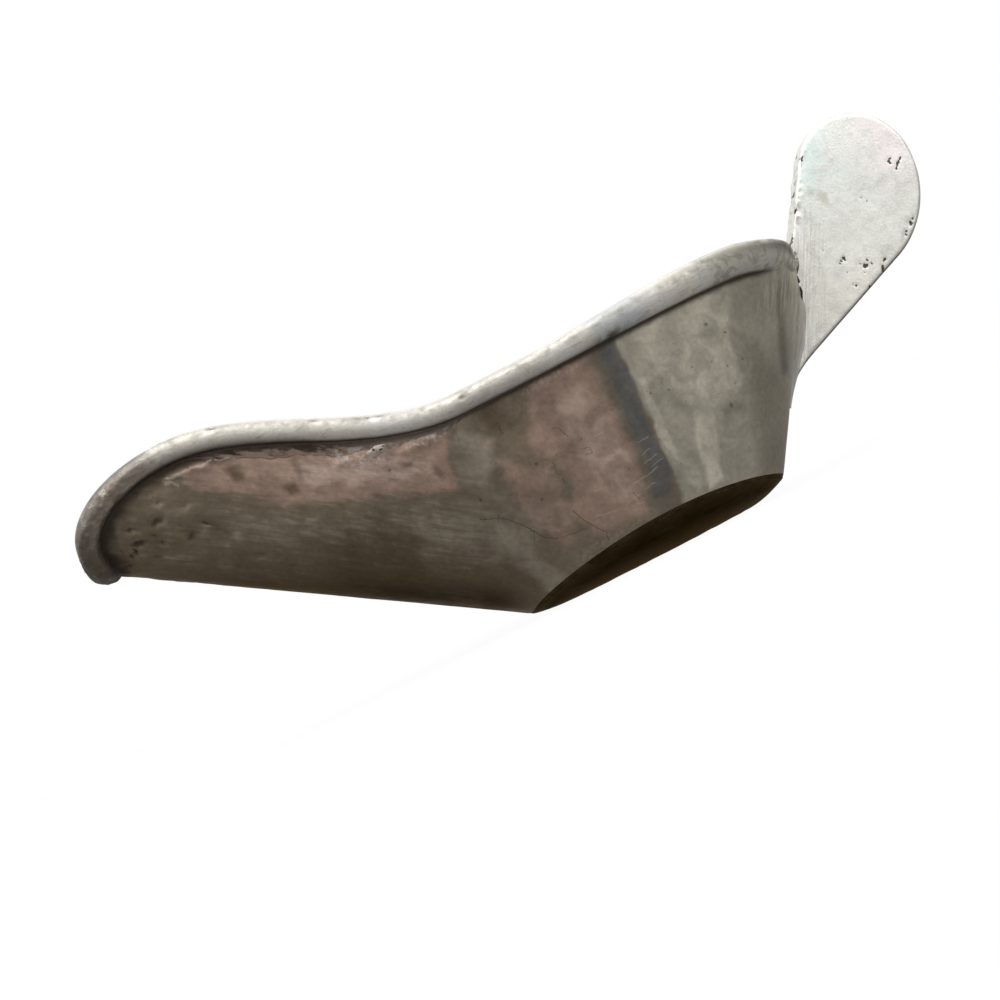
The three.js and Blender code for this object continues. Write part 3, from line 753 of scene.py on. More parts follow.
def makeWallFinish():
    f = Finish("tarnished hammered pewter", wallFinish)
    broad = f.noise(17, 4, warp=0.4)
    mottle = f.noise(4.5, 5, warp=0.6)
    fine = f.noise(0.9, 5)
    x, y, _ = f.parts()
    drawn = f.plus(f.noise(0.8, 4, stretch=(0.08, 1, 1), turn=-31.7), -0.5)
    drawn = f.plus(f.times(drawn, f.span(x, 0, -14, 0.2, 1)), 0.5)  # rubbed along the spout
    upright = f.noise(0.7, 4, stretch=(1, 1, 0.06), turn=-30)  # file marks beside the handle
    ragged = f.plus(f.span(mottle, 0.3, 0.7, -0.1, 0.1), f.span(drawn, 0.3, 0.7, -0.16, 0.16))
    f.colour = wallFinish["film"]
    for name in ("grey", "light", "rosyReflection", "blush", "pale", "dim", "darkReflection"):
        f.coat(name, f.span(f.plus(name, ragged), 0.1, 0.9))
    # painted shade over the tarnish, low on the wall
    f.coat("shade", "low", 0.92)
    # near-black painted shade along the keel
    f.coat("keel", "keel", f.span(mottle, 0.3, 0.6, 0.6, 1))
    f.coat("shade", "shade")
    f.coat(dressedTone(f, upright), "dressed", 0.85)
    f.coat("filed", "filed", f.span(upright, 0.35, 0.65, 0.35, 1.0))
    f.coat("smear", "smear", f.span(f.noise(0.7, 4), 0.42, 0.62))
    f.coat("inside", "inside")
    f.coat("grimeAndShade", f.span("dented", 0.18, 0.8, 0, 0.78))
    # painted shadow just below the band
    f.coat("grimeAndShade", f.span("shadowBelowBand", 0.0, 0.9, 0, 0.9))
    for pattern, change in ((broad, 0.12), (mottle, 0.11), (fine, 0.08), (drawn, 0.08)):
        f.vary(pattern, 0.28, 0.72, 1 - change, 1 + change)

    near = f.span(y, 0.5, -0.5)
    sideView = f.sideView(0.9, 0.9)
    worn = f.span(mottle, 0.35, 0.65, 0.35, 0.75)
    pits = [([(pitX, pitZ)], width) for pitX, pitZ, width in wallFinish["pits"]]
    f.coat("grimeAndShade", f.marks(sideView, wallFinish["cracks"]), near, worn)
    f.coat("grimeAndShade", f.marks(sideView, pits), near, 0.6)
    f.coat("smear", f.marks(sideView, wallFinish["scratches"]), near, 0.5)
    f.coat("grimeAndShade", f.span(f.noise(0.8, 2), 0.7, 0.76), 0.35)
    roughness = f.plus(f.rough(mottle, 0.06, 0.07), f.times("smear", 0.15), f.times("shadowBelowBand", 0.2))
    height = f.plus(f.times(fine, 0.35), f.times(drawn, 0.35), f.times("filed", upright))
    # reflections tinted brown low on the wall, with the painted shade there
    tint = f.mix(f.read("low"), (1.0, 1.0, 1.0), (0.88, 0.76, 0.62))
    return f.done(roughness, 0.85, height, 0.09, tint)


wallPiece = makeWall()
wallPiece.data.materials.append(makeWallFinish())
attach(wallPiece, "root")
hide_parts("bowl_wall")
print("wall", len(wallPiece.data.vertices), "points")


# Base: a dished plate with a crisp edge, worn lighter along its outer strip

base = {
    "thickness": 1.8,
    "edgeClosing": 0.28,  # its edge is raised this much to meet the wall
    "dishCurve": 1.8,
    "cornerRound": 0.4,
    "inset": 0.16,  # its edge stands this far inside the wall's skirt
    "stations": 560,
    "rings": 34,
    "planish": 0.09,
}


# Points of the plate's underside (upper 0) or inside (upper 1). out runs from -1 in the
# middle of the flat over 0 at its edge to 1 at the plate's own edge.
def basePoints(t, side, out, upper=0):
    outside = np.clip(out, 0, 1)
    lift = base["thickness"] * upper
    edgeX, edgeZ = baseEdge(t, lift + base["edgeClosing"] * outside * upper)
    edgeY = side * halfWidth(edgeX, edgeZ)
    flatX = lerp(flat["back"], flat["front"], t)
    flatY = side * flat["width"] / 2 * np.sqrt(np.clip(4 * t * (1 - t), 0, 1))
    shrink = np.where(out < 0, 1 + out, 1)
    middleX = (flat["front"] + flat["back"]) / 2
    x = lerp(middleX + (flatX - middleX) * shrink, edgeX, outside)
    y = lerp(flatY * shrink, edgeY, outside)
    return np.stack([x, y, (edgeZ - lift) * outside ** base["dishCurve"] + lift], axis=-1)


def makeBase():
    t, side = evenStations(base["stations"])
    rings = base["rings"]
    reach = np.linspace(-0.98, 0.985, rings)
    under = [basePoints(t, side, out) for out in reach]
    plain = basePoints(t, side, 1)
    inward = unit(basePoints(t, side, 0.93) - plain)
    upward = basePoints(t, side, 1, 1) - plain
    length = np.linalg.norm(upward, axis=1, keepdims=True)
    upward = unit(upward)
    wear = 0.5 + 0.5 * swell(plain, 6, 31)
    radius = (base["cornerRound"] * (0.6 + 0.8 * wear))[:, None]
    corner = plain + inward * base["inset"]
    edge = []
    for s in np.linspace(0, 1, 6):
        edge.append(lerp(corner + inward * radius * (1 - s), corner + upward * radius * s, s))
    strip = [corner + upward * lerp(radius, length, s) for s in (0.35, 0.7, 0.96, 1)]
    over = [basePoints(t, side, out, 1) for out in (0.997, *np.linspace(0.95, -0.98, rings // 2))]
    loops = np.stack(under + edge + strip + over, axis=1)
    marks = swell(loops, 5, 32) + 0.6 * swell(loops, 2.2, 33)
    loops[:, :rings, 2] += base["planish"] * np.abs(marks[:, :rings])
    deep = np.zeros(loops.shape[1])
    # painted shade: a dark ring where the underside turns down toward its edge
    deep[:rings] = np.exp(-(((reach - 0.72) / 0.2) ** 2))
    masks = {"upper": np.arange(loops.shape[1]) >= rings + 10, "deep": deep}
    return makePiece("dished_base", loops, tubeFaces(numbered(loops).T), masks)


# the underside's dark film is dark tarnish, with painted shade for the dark below that it faces
baseFinish = {
    "film": (0.040, 0.026, 0.011),
    "grey": (0.085, 0.060, 0.030),
    "deep": (0.010, 0.006, 0.002),
    "upper": (0.30, 0.27, 0.23),
    "roughness": 0.5,
}


def makeBaseFinish():
    f = Finish("dark pewter of the base", baseFinish)
    mottle = f.noise(7, 5, warp=0.6)
    fine = f.noise(0.7, 5)
    rub = f.noise(1.6, 4, stretch=(0.3, 1, 1))
    f.colour = baseFinish["film"]
    f.coat("grey", f.span(mottle, 0.36, 0.7))
    # painted shade in the dark ring near the edge of the underside
    f.coat("deep", "deep", f.span(rub, 0.3, 0.6, 0.5, 1))
    f.coat("upper", "upper")
    f.vary(rub, 0.3, 0.7, 0.88, 1.12)
    f.vary(fine, 0.25, 0.75, 0.9, 1.1)
    height = f.plus(f.times(fine, 0.6), f.times(rub, 0.4))
    tint = f.mix(f.read("upper"), (0.78, 0.66, 0.52), (1.0, 1.0, 1.0))
    return f.done(f.rough(mottle, 0.06, 0.08), 1.0, height, 0.1, tint)


basePiece = makeBase()
basePiece.data.materials.append(makeBaseFinish())
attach(basePiece, "root")
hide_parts("bottom_plate")
print("base", len(basePiece.data.vertices), "points")


# Axes of the band at each station: out from the wall, and up past its edge
def rimFrames(stations):
    t, side = evenStations(stations)
    grid = hullPoints(t, side, np.array([0.96, 0.98, 1.0]), base["thickness"] + 0.3)
    origin = grid[:, 2]
    along = unit(np.roll(origin, -1, axis=0) - np.roll(origin, 1, axis=0))
    out = outward(grid)[:, 2]
    up = unit(np.cross(out, along))
    up *= np.sign(np.sum(up * (origin - grid[:, 0]), axis=1, keepdims=True))
    return origin[:, None], out[:, None], up[:, None]


def onRim(rim, outBy, upBy):
    origin, out, up = rim
    return origin + out * np.asarray(outBy)[..., None] + up * np.asarray(upBy)[..., None]


def makeBand():
    rim = rimFrames(band["stations"])
    place, out, up = rim
    x, y, _ = np.moveaxis(place, -1, 0)
    near = y < 0
    height = bandHeight(place)
    smoothed = dressed(place)
    bulge = bandBulge(place) * (1 - band["filedOff"] * smoothed)
    middle = (band["cap"] - height) / 2
    reach = (band["cap"] + height) / 2
    angle = np.linspace(-90, 90, band["steps"])
    turn = np.radians(angle)
    below = np.maximum(-angle / 90, 0)
    featherOut = bulge * smooth(below, 1, 0) - 0.3 * below
    featherUp = middle - (reach + band["feather"]) * below
    filedShare = smoothed * (angle < 0)
    outBy = lerp(bulge * np.cos(turn), featherOut, filedShare)
    upBy = lerp(middle + reach * np.sin(turn), featherUp, filedShare)
    surface = onRim(rim, outBy, upBy)
    relief = 0.05 * swell(surface, 6, 41) + 0.02 * swell(surface, 1.6, 42) - 0.09
    rough = 0.17 * swell(surface, 1.7, 43) + 0.12 * swell(surface, 0.75, 44) - 0.16
    relief += smooth(-x, 52, 66) * rough
    nicked = np.zeros(relief.shape)
    for nickX, nickAngle, nickLong, nickDeep in band["nicks"]:
        off = (x - nickX) / nickLong * 1.8
        nicked += near * nickDeep * np.exp(-(off**2) - ((angle - nickAngle) / 13) ** 2)
    relief = (relief - nicked) * smooth(angle, -88, -70)
    surface += (out * np.cos(turn)[:, None] + up * np.sin(turn)[:, None]) * relief[..., None]

    # over the edge of the wall and down on its inside
    inside = np.array([
        (-0.55, 0.97), (-1.05, 0.86), (-1.5, 0.66), (-1.85, 0.36), (-1.98, 0.12), (-1.9, 0.02), (0, 0.02),
    ])
    overEdge = onRim(rim, inside[:, 0], inside[:, 1] * band["cap"])
    points = pressed(np.concatenate([surface, overEdge], axis=1))
    count = points.shape[1]

    def whole(values, insideValues):
        spread = np.broadcast_to(values, nicked.shape)
        return np.hstack([spread, np.broadcast_to(insideValues, (len(place), len(inside)))])

    smudgeDown = smooth(np.linspace(-90, 150, count), 5, -45)
    lower = 34 * smooth(-x, 22, 30) * smooth(-x, 60, 52)
    rubbed = 32 * smooth(x, -30, -18) + 14 * smooth(x, 30, 36)
    masks = {
        # painted shade on the band's lower edge, where it turns in to the wall, and on its lowest points
        # inside; less where it was filed
        "grimeAndShade": whole(smooth(angle, -52 + lower, -88) * (1 - smoothed), inside[:, 1] < 0.1),
        "polish": whole(smooth(angle + rubbed, -75, 55), 1),
        "nicked": whole(np.clip(nicked / 0.3, 0, 1), 0),
        # where the upper side is painted darker, against the light falling on it
        "top": whole(np.exp(-(((angle - 38) / 30) ** 2)), 0.4),
        "lip": smooth(-x, 46, 61),
        "tip": smooth(-points[..., 0], 55, 63) * smooth(points[..., 2], 54, 42),
        "filed": smooth(points[..., 0], 55, 62) * smooth(np.abs(points[..., 1]), 23, 15),
        "flush": smoothed * smooth(np.linspace(-90, 190, count), 50, -20),
        "stern": smooth(x, 40, 54),
        "bluish": near * smooth(x, 23, 25.5) * smooth(x, 37, 32),
        "dull": smooth(x, -9, 1) * smooth(x, 17, 11),
        "smudge": near * np.exp(-(((x - 27.2) / 2.6) ** 2)) * smudgeDown,
    }
    return makePiece("rim_band_half_round", points, sheetFaces(numbered(points), True, True), masks)


bandFinish = {
    "bright": (0.72, 0.70, 0.65),
    "cream": (0.67, 0.63, 0.55),
    "top": (0.21, 0.20, 0.178),  # darker on its upper side: painted shade that dims the light falling there
    "dull": (0.56, 0.525, 0.47),
    "under": (0.56, 0.515, 0.445),  # the lower face, less rubbed and painted a little darker as shade
    "brown": (0.17, 0.148, 0.124),
    "tip": (0.11, 0.085, 0.058),
    "inner": (0.14, 0.108, 0.08),
    "lipUnder": (0.36, 0.30, 0.24),
    "stern": (0.56, 0.54, 0.47),
    # the same painted shade on the upper side, over the back
    "sternTop": (0.16, 0.15, 0.124),
    "bluish": (0.52, 0.55, 0.56),
    # painted shade under the band, and dirt in its nicks
    "grimeAndShade": (0.04, 0.027, 0.017),
    "roughness": 0.44,
}


def makeBandFinish():
    f = Finish("rubbed bright pewter of the band", bandFinish)
    broad = f.noise(9, 4, warp=0.5)
    mottle = f.noise(2.2, 5, warp=0.5)
    fine = f.noise(0.5, 5)
    drawn = f.noise(0.7, 4, stretch=(0.12, 1, 1))
    upright = f.noise(0.7, 4, stretch=(1, 1, 0.06), turn=-30)
    ragged = f.span(broad, 0.3, 0.7, -0.25, 0.25)
    f.colour = bandFinish["bright"]
    f.coat("cream", f.span(broad, 0.35, 0.65))
    rubbed = f.plus("polish", f.span(mottle, 0.3, 0.7, -0.18, 0.18))
    # the lower face darker: less rubbed, and painted shade
    f.coat("under", f.span(rubbed, 0.08, 0.62, 1, 0))
    f.coat("dull", "dull", f.span(mottle, 0.3, 0.6, 0.4, 0.9))
    f.coat("bluish", "bluish", 0.8)
    # painted shade on the upper side
    f.coat("top", "top", f.span(mottle, 0.3, 0.7, 0.6, 0.85))
    sternTone = f.mix(f.read("top"), bandFinish["stern"], bandFinish["sternTop"])
    f.coat(sternTone, f.span(f.plus("stern", ragged), 0.3, 0.9, 0, 0.92))
    lipTone = f.mix(f.span("polish", 0.7, 0.1), bandFinish["brown"], bandFinish["lipUnder"])
    lipTone = f.mix(f.read("tip"), lipTone, bandFinish["tip"])
    f.coat(lipTone, f.span(f.plus("lip", ragged), 0.15, 0.85))
    tarnish = f.plus(f.times("stern", 0.3), 0.12, f.times("lip", 0.4))
    f.coat("inner", f.span(mottle, 0.5, 0.64), tarnish)
    f.coat("under", "lip", f.span(f.noise(1.6, 5), 0.55, 0.68), 0.25)
    f.coat("inner", "smudge", f.span(mottle, 0.35, 0.6))
    f.coat("brown", f.span(drawn, 0.6, 0.68), 0.35)
    brighter = f.shaded((1.0, 1.0, 1.0), upright, 0.3, 0.7, 0.95, 1.75)
    f.colour = f.mix(1.0, f.colour, f.mix(f.read("filed"), (1.0, 1.0, 1.0), brighter), "MULTIPLY")
    f.coat(dressedTone(f, upright), "flush", 0.9)
    # painted shade along the band's lower edge
    f.coat("grimeAndShade", "grimeAndShade", f.span(drawn, 0.2, 0.6, 0.75, 1.0), f.span("stern", 0, 1, 1, 0.7))
    f.coat("grimeAndShade", "nicked", 0.75)
    f.vary(fine, 0.25, 0.75, 0.92, 1.05)
    height = f.plus(f.times(fine, 0.5), f.times(drawn, 0.5), f.times("lip", mottle, 2.5))
    return f.done(f.rough(mottle, 0.06, 0.1), 0.6, height, 0.1)


bandPiece = makeBand()
bandPiece.data.materials.append(makeBandFinish())
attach(bandPiece, "root")
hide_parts("rim_band")
print("band", len(bandPiece.data.vertices), "points")


# Solder line under the band, thick and uneven over the front of the bowl, where it also
# left a blob with burst bubbles

rimSolder = {
    "height": 2.5,
    "thickness": 0.5,
    "thickFrom": -40,
    "thickTo": -8,
    "stations": 1000,
    "clearOfHandle": 21,
    "steps": 14,  # points down its face
    "blob": (-17.8, 40.5),
    "blobRadius": 1.7,
    "blobProud": 0.42,
    "blobRings": 26,
    "blobSpokes": 60,
    "bubbles": [(-18.4, 40.7, 0.34), (-17.2, 40.2, 0.27), (-16.6, 40.6, 0.16)],
}


def makeRimSolder():
    rim = rimFrames(rimSolder["stations"])
    place = rim[0]
    x, y, _ = np.moveaxis(place, -1, 0)
    height = bandHeight(place)
    atStern = x > hull["widestAt"]
    thickFrom, thickTo = rimSolder["thickFrom"], rimSolder["thickTo"]
    thick = smooth(x, thickFrom - 8, thickFrom) * smooth(x, thickTo + 7, thickTo)
    ending = np.where(atStern, smooth(np.abs(y), 21, 27), 1)
    tall = rimSolder["height"] * (0.2 + 0.8 * thick) * (1 - 0.7 * smooth(-x, 48, 54))
    tall = tall * (0.15 + 0.85 * ending)
    tall = tall * (1 + 0.25 * swell(place, 4.1, 51) + 0.12 * swell(place, 1.3, 52))
    deep = rimSolder["thickness"] * (0.3 + 0.7 * thick) * (1 + 0.25 * swell(place, 2.3, 53)) * ending
    steps = rimSolder["steps"]
    share = np.linspace(0, 1, steps)
    proud = (1 - share) ** 1.4 * (1 - 0.35 * np.exp(-((share / 0.12) ** 2)))
    skin = onRim(rim, deep * proud - 0.2 * share**2, -height - tall * share + 0.25 * (share == 0))
    lump = 0.05 * swell(skin, 1.0, 54) + 0.03 * swell(skin, 0.5, 55)
    skin += rim[1] * (lump * np.minimum(1, 3 * (1 - share)))[..., None]
    back = onRim(rim, -0.25, np.hstack([-height - tall * 0.98, -height + 0.2]))
    keep = ~(atStern & (np.abs(y) < rimSolder["clearOfHandle"]))[:, 0]
    line = np.concatenate([skin, back], axis=1)[keep]
    edge = np.zeros(line.shape[:2])
    edge[:, 6:13] = (smooth(x, -27, -22) * smooth(x, 6, -3))[keep]
    shadow = np.zeros(line.shape[:2])
    shadow[:, :steps] = np.maximum(1 - smooth(share, 0.1, 0.5), 1 - thick[keep])

    # the blob, on rings round its middle
    middleX, middleZ = rimSolder["blob"]
    share = np.linspace(0.02, 1, rimSolder["blobRings"])[:, None]
    turn = np.linspace(0, 2 * np.pi, rimSolder["blobSpokes"], endpoint=False)
    away = rimSolder["blobRadius"] * share * (1 + 0.14 * np.sin(2 * turn + 0.8) + 0.08 * np.sin(5 * turn))
    blobX = middleX + away * np.cos(turn) * 1.25
    blobZ = middleZ + away * np.sin(turn) * 0.72
    proud = rimSolder["blobProud"] * (1 - share**2) * np.ones_like(turn)
    burst = np.zeros(proud.shape)
    for holeX, holeZ, radius in rimSolder["bubbles"]:
        around = np.arctan2(blobZ - holeZ, blobX - holeX)
        off = np.hypot(blobX - holeX, (blobZ - holeZ) * 1.25) / radius
        off = off * (1 + 0.22 * np.sin(2 * around + 3 * holeX))
        proud = proud + 0.16 * np.exp(-(((off - 1.25) / 0.35) ** 2)) * (1 - share**4)
        proud = proud - 0.5 * np.exp(-((off / 0.62) ** 4))
        burst = np.maximum(burst, np.exp(-((off / 0.75) ** 4)))
    blob = np.stack([blobX, -halfWidth(blobX, blobZ) - proud + 0.05 * share, blobZ], axis=-1)
    backing = np.stack([blobX[-1], -halfWidth(blobX[-1], blobZ[-1]) + 0.4, blobZ[-1]], axis=-1)
    blob = np.concatenate([blob, backing[None]])

    def both(onLine, onBlob):
        spread = np.broadcast_to(onLine, line.shape[:2])
        return np.concatenate([spread.ravel(), np.broadcast_to(onBlob, blob.shape[:2]).ravel()])

    masks = {
        "edge": both(edge, 0.8),
        "shadow": both(shadow, 0),
        "hole": both(0, np.vstack([burst, 0 * burst[:1]])),
        "lower": both(np.append(np.linspace(0, 1, steps), [1, 1]), 0),
        "blob": both(0, 1),
    }
    faces = tubeFaces(numbered(line)) + tubeFaces(numbered(blob, line[..., 0].size))
    points = np.concatenate([line.reshape(-1, 3), blob.reshape(-1, 3)])
    return makePiece("rim_solder_line", points, faces, masks)


solderFinish = {
    "brown": (0.06, 0.042, 0.026),
    "grey": (0.13, 0.105, 0.078),
    "light": (0.30, 0.25, 0.205),
    "bright": (0.60, 0.52, 0.45),
    "dark": (0.05, 0.036, 0.026),
    "rosyReflection": (0.40, 0.29, 0.23),  # where it thins out over the wall, in the tone of the wall's painted pink reflection
    "roughness": 0.46,
}


def makeSolderFinish(name, brightness):
    f = Finish(name, solderFinish)
    mottle = f.noise(3.2, 5, warp=0.8)
    fine = f.noise(0.5, 5)
    streaks = f.noise(0.9, 4, stretch=(0.2, 1, 1), turn=-31.7)
    f.colour = solderFinish["brown"]
    f.coat("grey", f.span(mottle, 0.38, 0.62))
    f.coat("light", f.span(f.parts()[0], -29, -15))
    f.coat("rosyReflection", f.span(f.plus("lower", f.span(streaks, 0.3, 0.7, -0.35, 0.35)), 0.3, 0.75))
    f.coat("bright", "blob", 0.7)
    f.coat("bright", "edge", f.span(f.noise(1.4, 4), 0.48, 0.64), brightness)
    f.coat("dark", "shadow", 0.8)
    f.coat("dark", "hole")
    f.vary(fine, 0.25, 0.75, 0.9, 1.1)
    return f.done(f.rough(mottle, 0.1, 0.1), 0.85, fine, 0.1)


rimSolderPiece = makeRimSolder()
rimSolderPiece.data.materials.append(makeSolderFinish("solder under the band", 0.8))
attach(rimSolderPiece, "root")
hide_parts("rim_solder")
print("rim solder", len(rimSolderPiece.data.vertices), "points")


# Solder inside, in the corner between the base and the wall

baseSolder = {"leg": 2.2, "crown": 0.6, "stations": 480}


def makeBaseSolder():
    t, side = evenStations(baseSolder["stations"])
    grid = hullPoints(t, side, np.array([0.0, 0.02, 0.07]), base["thickness"] + 0.02)
    foot = grid[:, 0]
    normal = outward(grid)[:, 0]
    leg = baseSolder["leg"] * (1 + 0.22 * swell(foot, 5, 61) + 0.12 * swell(foot, 1.8, 62))
    corner = foot - normal * wall["thickness"]
    wallTop = corner + unit(grid[:, 2] - foot) * leg[:, None]
    plateLength = np.linalg.norm(basePoints(t, side, 1) - basePoints(t, side, 0), axis=1)
    plateEnd = basePoints(t, side, 1 - (wall["thickness"] + leg) / plateLength, 1)
    inward = unit([0, 0, 1] - normal)[:, None]
    s = np.linspace(0, 1, 9)[:, None]
    skin = lerp(wallTop[:, None], plateEnd[:, None], s) + inward * baseSolder["crown"] * 2 * s * (1 - s)
    lump = 0.05 * swell(skin, 1.4, 63)
    lump[:, [0, -1]] = 0
    points = np.concatenate([corner[:, None] - inward * 0.3, skin + inward * lump[..., None]], axis=1)
    edge = np.array([0, 0, 0, 1, 1, 1, 1, 0, 0, 0])
    return makePiece("base_solder_bead", points, sheetFaces(numbered(points), True, True), {"edge": edge})


baseSolderPiece = makeBaseSolder()
baseSolderPiece.data.materials.append(makeSolderFinish("solder inside the bowl", 0.4))
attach(baseSolderPiece, "root")
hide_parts("bottom_solder")
print("base solder", len(baseSolderPiece.data.vertices), "points")


# Handle: a flat cast plate, filed on its faces, rough as cast along its front edge

handle = {
    "thickness": 4.4,
    "radius": 12.9,  # upper part of the round end
    "heelRadius": 20.4,  # its lower part, which runs into the lower edge
    "reach": 20.9,  # from the back of the rim to the centre of the round end
    "rise": 9.7,
    "web": [(-1.2, 1.2), (-0.3, 2.0), (1.3, 3.0)],  # its foot on the band, from the back of the rim
    "edgeRound": 0.9,
    "footHeight": 12.5,
    "footReach": 11.6,
    "footRise": 8.8,
    "footToe": 0.7,
    "voxel": 0.24,
    "rimStations": 880,
    "pits": [  # holes left in the casting: points and width
        ([(107.2, 50.4), (106.5, 50.1), (106.7, 49.5)], 0.36), ([(108.3, 48.9), (109.3, 49.6)], 0.3),
        ([(108.2, 49.0), (107.3, 47.9)], 0.32), ([(88.0, 35.7), (88.0, 36.3)], 0.36),
        ([(91.8, 32.7), (91.3, 32.9)], 0.62), ([(95.6, 32.2), (96.0, 32.3)], 0.45),
        ([(94.5, 30.5), (94.8, 31.2)], 0.5), ([(90.1, 58.4), (89.7, 57.6)], 0.28),
    ],
    "holes": [  # and single ones: x, z, width
        (104.7, 36.6, 0.8), (105.6, 37.3, 0.45), (102.6, 34.9, 0.5), (103.0, 35.5, 0.4), (87.3, 35.9, 0.42),
        (86.7, 35.5, 0.3), (92.9, 32.7, 0.36), (90.7, 33.7, 0.34), (92.5, 33.7, 0.36), (87.7, 30.1, 0.36),
        (87.2, 30.6, 0.3), (90.3, 28.7, 0.36), (90.7, 31.7, 0.26), (87.3, 33.3, 0.26), (98.2, 44.6, 0.24),
        (97.4, 45.7, 0.24), (84.8, 39.5, 0.26),
    ],
    "soiled": [([(90, 49.4), (91.4, 46.8)], 2.6), ([(88.2, 51)], 1.6)],
    "crack": [(77.3, 38.2), (77.1, 36.8), (76.9, 35.3), (76.5, 34.0), (76.0, 32.6)],
}
handlePits = handle["pits"] + [([(x, z)], width) for x, z, width in handle["holes"]]


# Side view of the handle: x, z, and how much of its edge is rounded
def handleOutline():
    origin, out, up = (axis[0, 0] for axis in rimFrames(handle["rimStations"]))
    height = bandHeight(origin)
    middle = (band["cap"] - height) / 2
    reach = (band["cap"] + height) / 2
    angle = np.linspace(-0.5, 0.36, 9)[1:] * np.pi
    outBy = band["bulgeAtHandle"] * np.cos(angle)
    aroundBand = onRim((origin, out, up), outBy, middle + reach * np.sin(angle))
    z = np.linspace(handle["footHeight"], aroundBand[:, 2].min(), 6)
    onBand = origin[[0, 2]]
    front = [np.stack([backAt(z), z], axis=1), aroundBand[1:, [0, 2]], onBand + handle["web"]]

    def arc(centre, radius, start, end, count):
        angle = np.linspace(start, end, count)
        return centre + radius * np.stack([np.cos(angle), np.sin(angle)], axis=1)

    # a point's bearing from a centre, and how far from that bearing a line through the point
    # touches the circle
    def touching(point, centre, radius):
        away = point - centre
        return math.atan2(away[1], away[0]) % (2 * math.pi), math.acos(radius / np.hypot(*away))

    centre = onBand + [handle["reach"], handle["rise"]]
    bearing, touch = touching(front[2][-1], centre, handle["radius"])
    top = arc(centre, handle["radius"], bearing - touch, 0, 41)
    heel = centre + [handle["radius"] - handle["heelRadius"], 0]
    footX, footZ = backAt(handle["footHeight"]), handle["footHeight"]
    turn = np.array([footX + handle["footReach"], footZ + handle["footRise"]])
    bearing, touch = touching(turn, heel, handle["heelRadius"])
    arcEnd = bearing + touch - 2 * math.pi
    lower = arc(heel, handle["heelRadius"], 0, arcEnd, 31)[1:]
    edge = np.array([math.sin(arcEnd), -math.cos(arcEnd)])
    end = np.array([footX + handle["footToe"], footZ])
    wallRun = np.array([backAt(footZ + 1) - footX, 1])
    back = turn - end
    along = (back[0] * wallRun[1] - back[1] * wallRun[0]) / (edge[0] * wallRun[1] - edge[1] * wallRun[0])
    bend = turn - edge * along
    t = np.linspace(0, 1, 17)[:, None]
    foot = lerp(lerp(turn, bend, t), lerp(bend, end, t), t)
    sharp = np.concatenate(front)
    rounding = np.concatenate([np.zeros(len(sharp)), np.ones(len(top) + len(lower)), (1 - t[:, 0]) ** 2])
    return np.column_stack([np.concatenate([sharp, top, lower, foot]), rounding])


# the outline at a distance from the middle plane, pulled in where its edge is rounded
def handleLoop(outline, y, pull):
    edge = unit(np.roll(outline[:, :2], -1, axis=0) - np.roll(outline[:, :2], 1, axis=0))
    inward = pull * outline[:, 2]
    x = outline[:, 0] + edge[:, 1] * inward
    z = outline[:, 1] - edge[:, 0] * inward
    return np.stack([x, np.full(len(x), y), z], axis=1)


def makeHandle():
    outline = handleOutline()
    loops = []
    for angle in np.linspace(math.pi / 2, -math.pi / 2, 11):
        pull = handle["edgeRound"] * (1 - math.cos(angle))
        y = handle["thickness"] / 2 - handle["edgeRound"] * (1 - abs(math.sin(angle)))
        loops.append(handleLoop(outline, y * np.sign(np.round(angle, 6)), pull))
    points = np.stack(loops)
    plain = makePiece("handle_rough", points, tubeFaces(numbered(points)))
    remesh = plain.modifiers.new("remesh", "REMESH")
    remesh.mode = "VOXEL"
    remesh.voxel_size = handle["voxel"] * mm
    soften = plain.modifiers.new("soften", "SMOOTH")
    soften.factor = 0.5
    soften.iterations = 3
    cooked = plain.evaluated_get(bpy.context.evaluated_depsgraph_get()).to_mesh()
    co = np.array([v.co for v in cooked.vertices]) / mm - [cornerX, 0, 0]
    normal = np.array([v.normal for v in cooked.vertices])
    faces = [list(p.vertices) for p in cooked.polygons]
    bpy.data.objects.remove(plain)

    x, y, z = co.T
    relief = 0.05 * swell(co, 9, 71) + 0.025 * swell(co, 3.5, 72) - 0.1
    corner = int(np.argmax(outline[:, 2] > 0)) - 1
    fromFront = lineDistance(x, z, [tuple(p) for p in outline[corner : corner + 14, :2]])
    crust = np.exp(-((fromFront / 1.1) ** 2)) * smooth(z, 44, 46.5) * smooth(z, 62, 58)
    bubbles = 0.3 * swell(co, 1.7, 73) + 0.2 * swell(co, 0.8, 74)
    relief += crust * (0.6 * bubbles - 0.12)
    for run, width in handlePits:
        distance = lineDistance(x, z, run + run[:1])
        relief -= (y < -1) * 0.1 * width * np.exp(-((distance / width) ** 2))
    masks = {
        "void": np.maximum(0.6 * crust * smooth(-bubbles, 0.1, 0.24), crackAt(co)),
        "rough": crust * smooth(swell(co + normal * relief[:, None], 1.1, 76), -0.1, 0.5),
        "rootward": smooth(x - backAt(np.minimum(z, 41)), 11, 1),
        # painted shade on faces that turn downward, along the plate's lower edge
        "downwardShade": smooth(-normal[:, 2], 0.3, 0.7),
        # painted shade on faces toward the bowl, dimming the rounded front edge
        "fore": smooth(-normal[:, 0], 0.2, 0.7),
    }
    return makePiece("handle_cast_plate", co + normal * relief[:, None], faces, masks)


# the broken black line where the near fillet never took to the handle
def crackAt(points):
    wander = 0.3 * swell(points, 1.2, 77)
    distance = lineDistance(points[..., 0] + wander, points[..., 2], handle["crack"])
    broken = smooth(swell(points, 1.1, 78), -0.6, -0.1)
    return (points[..., 1] < 0) * broken * smooth(distance, 0.4, 0.14)


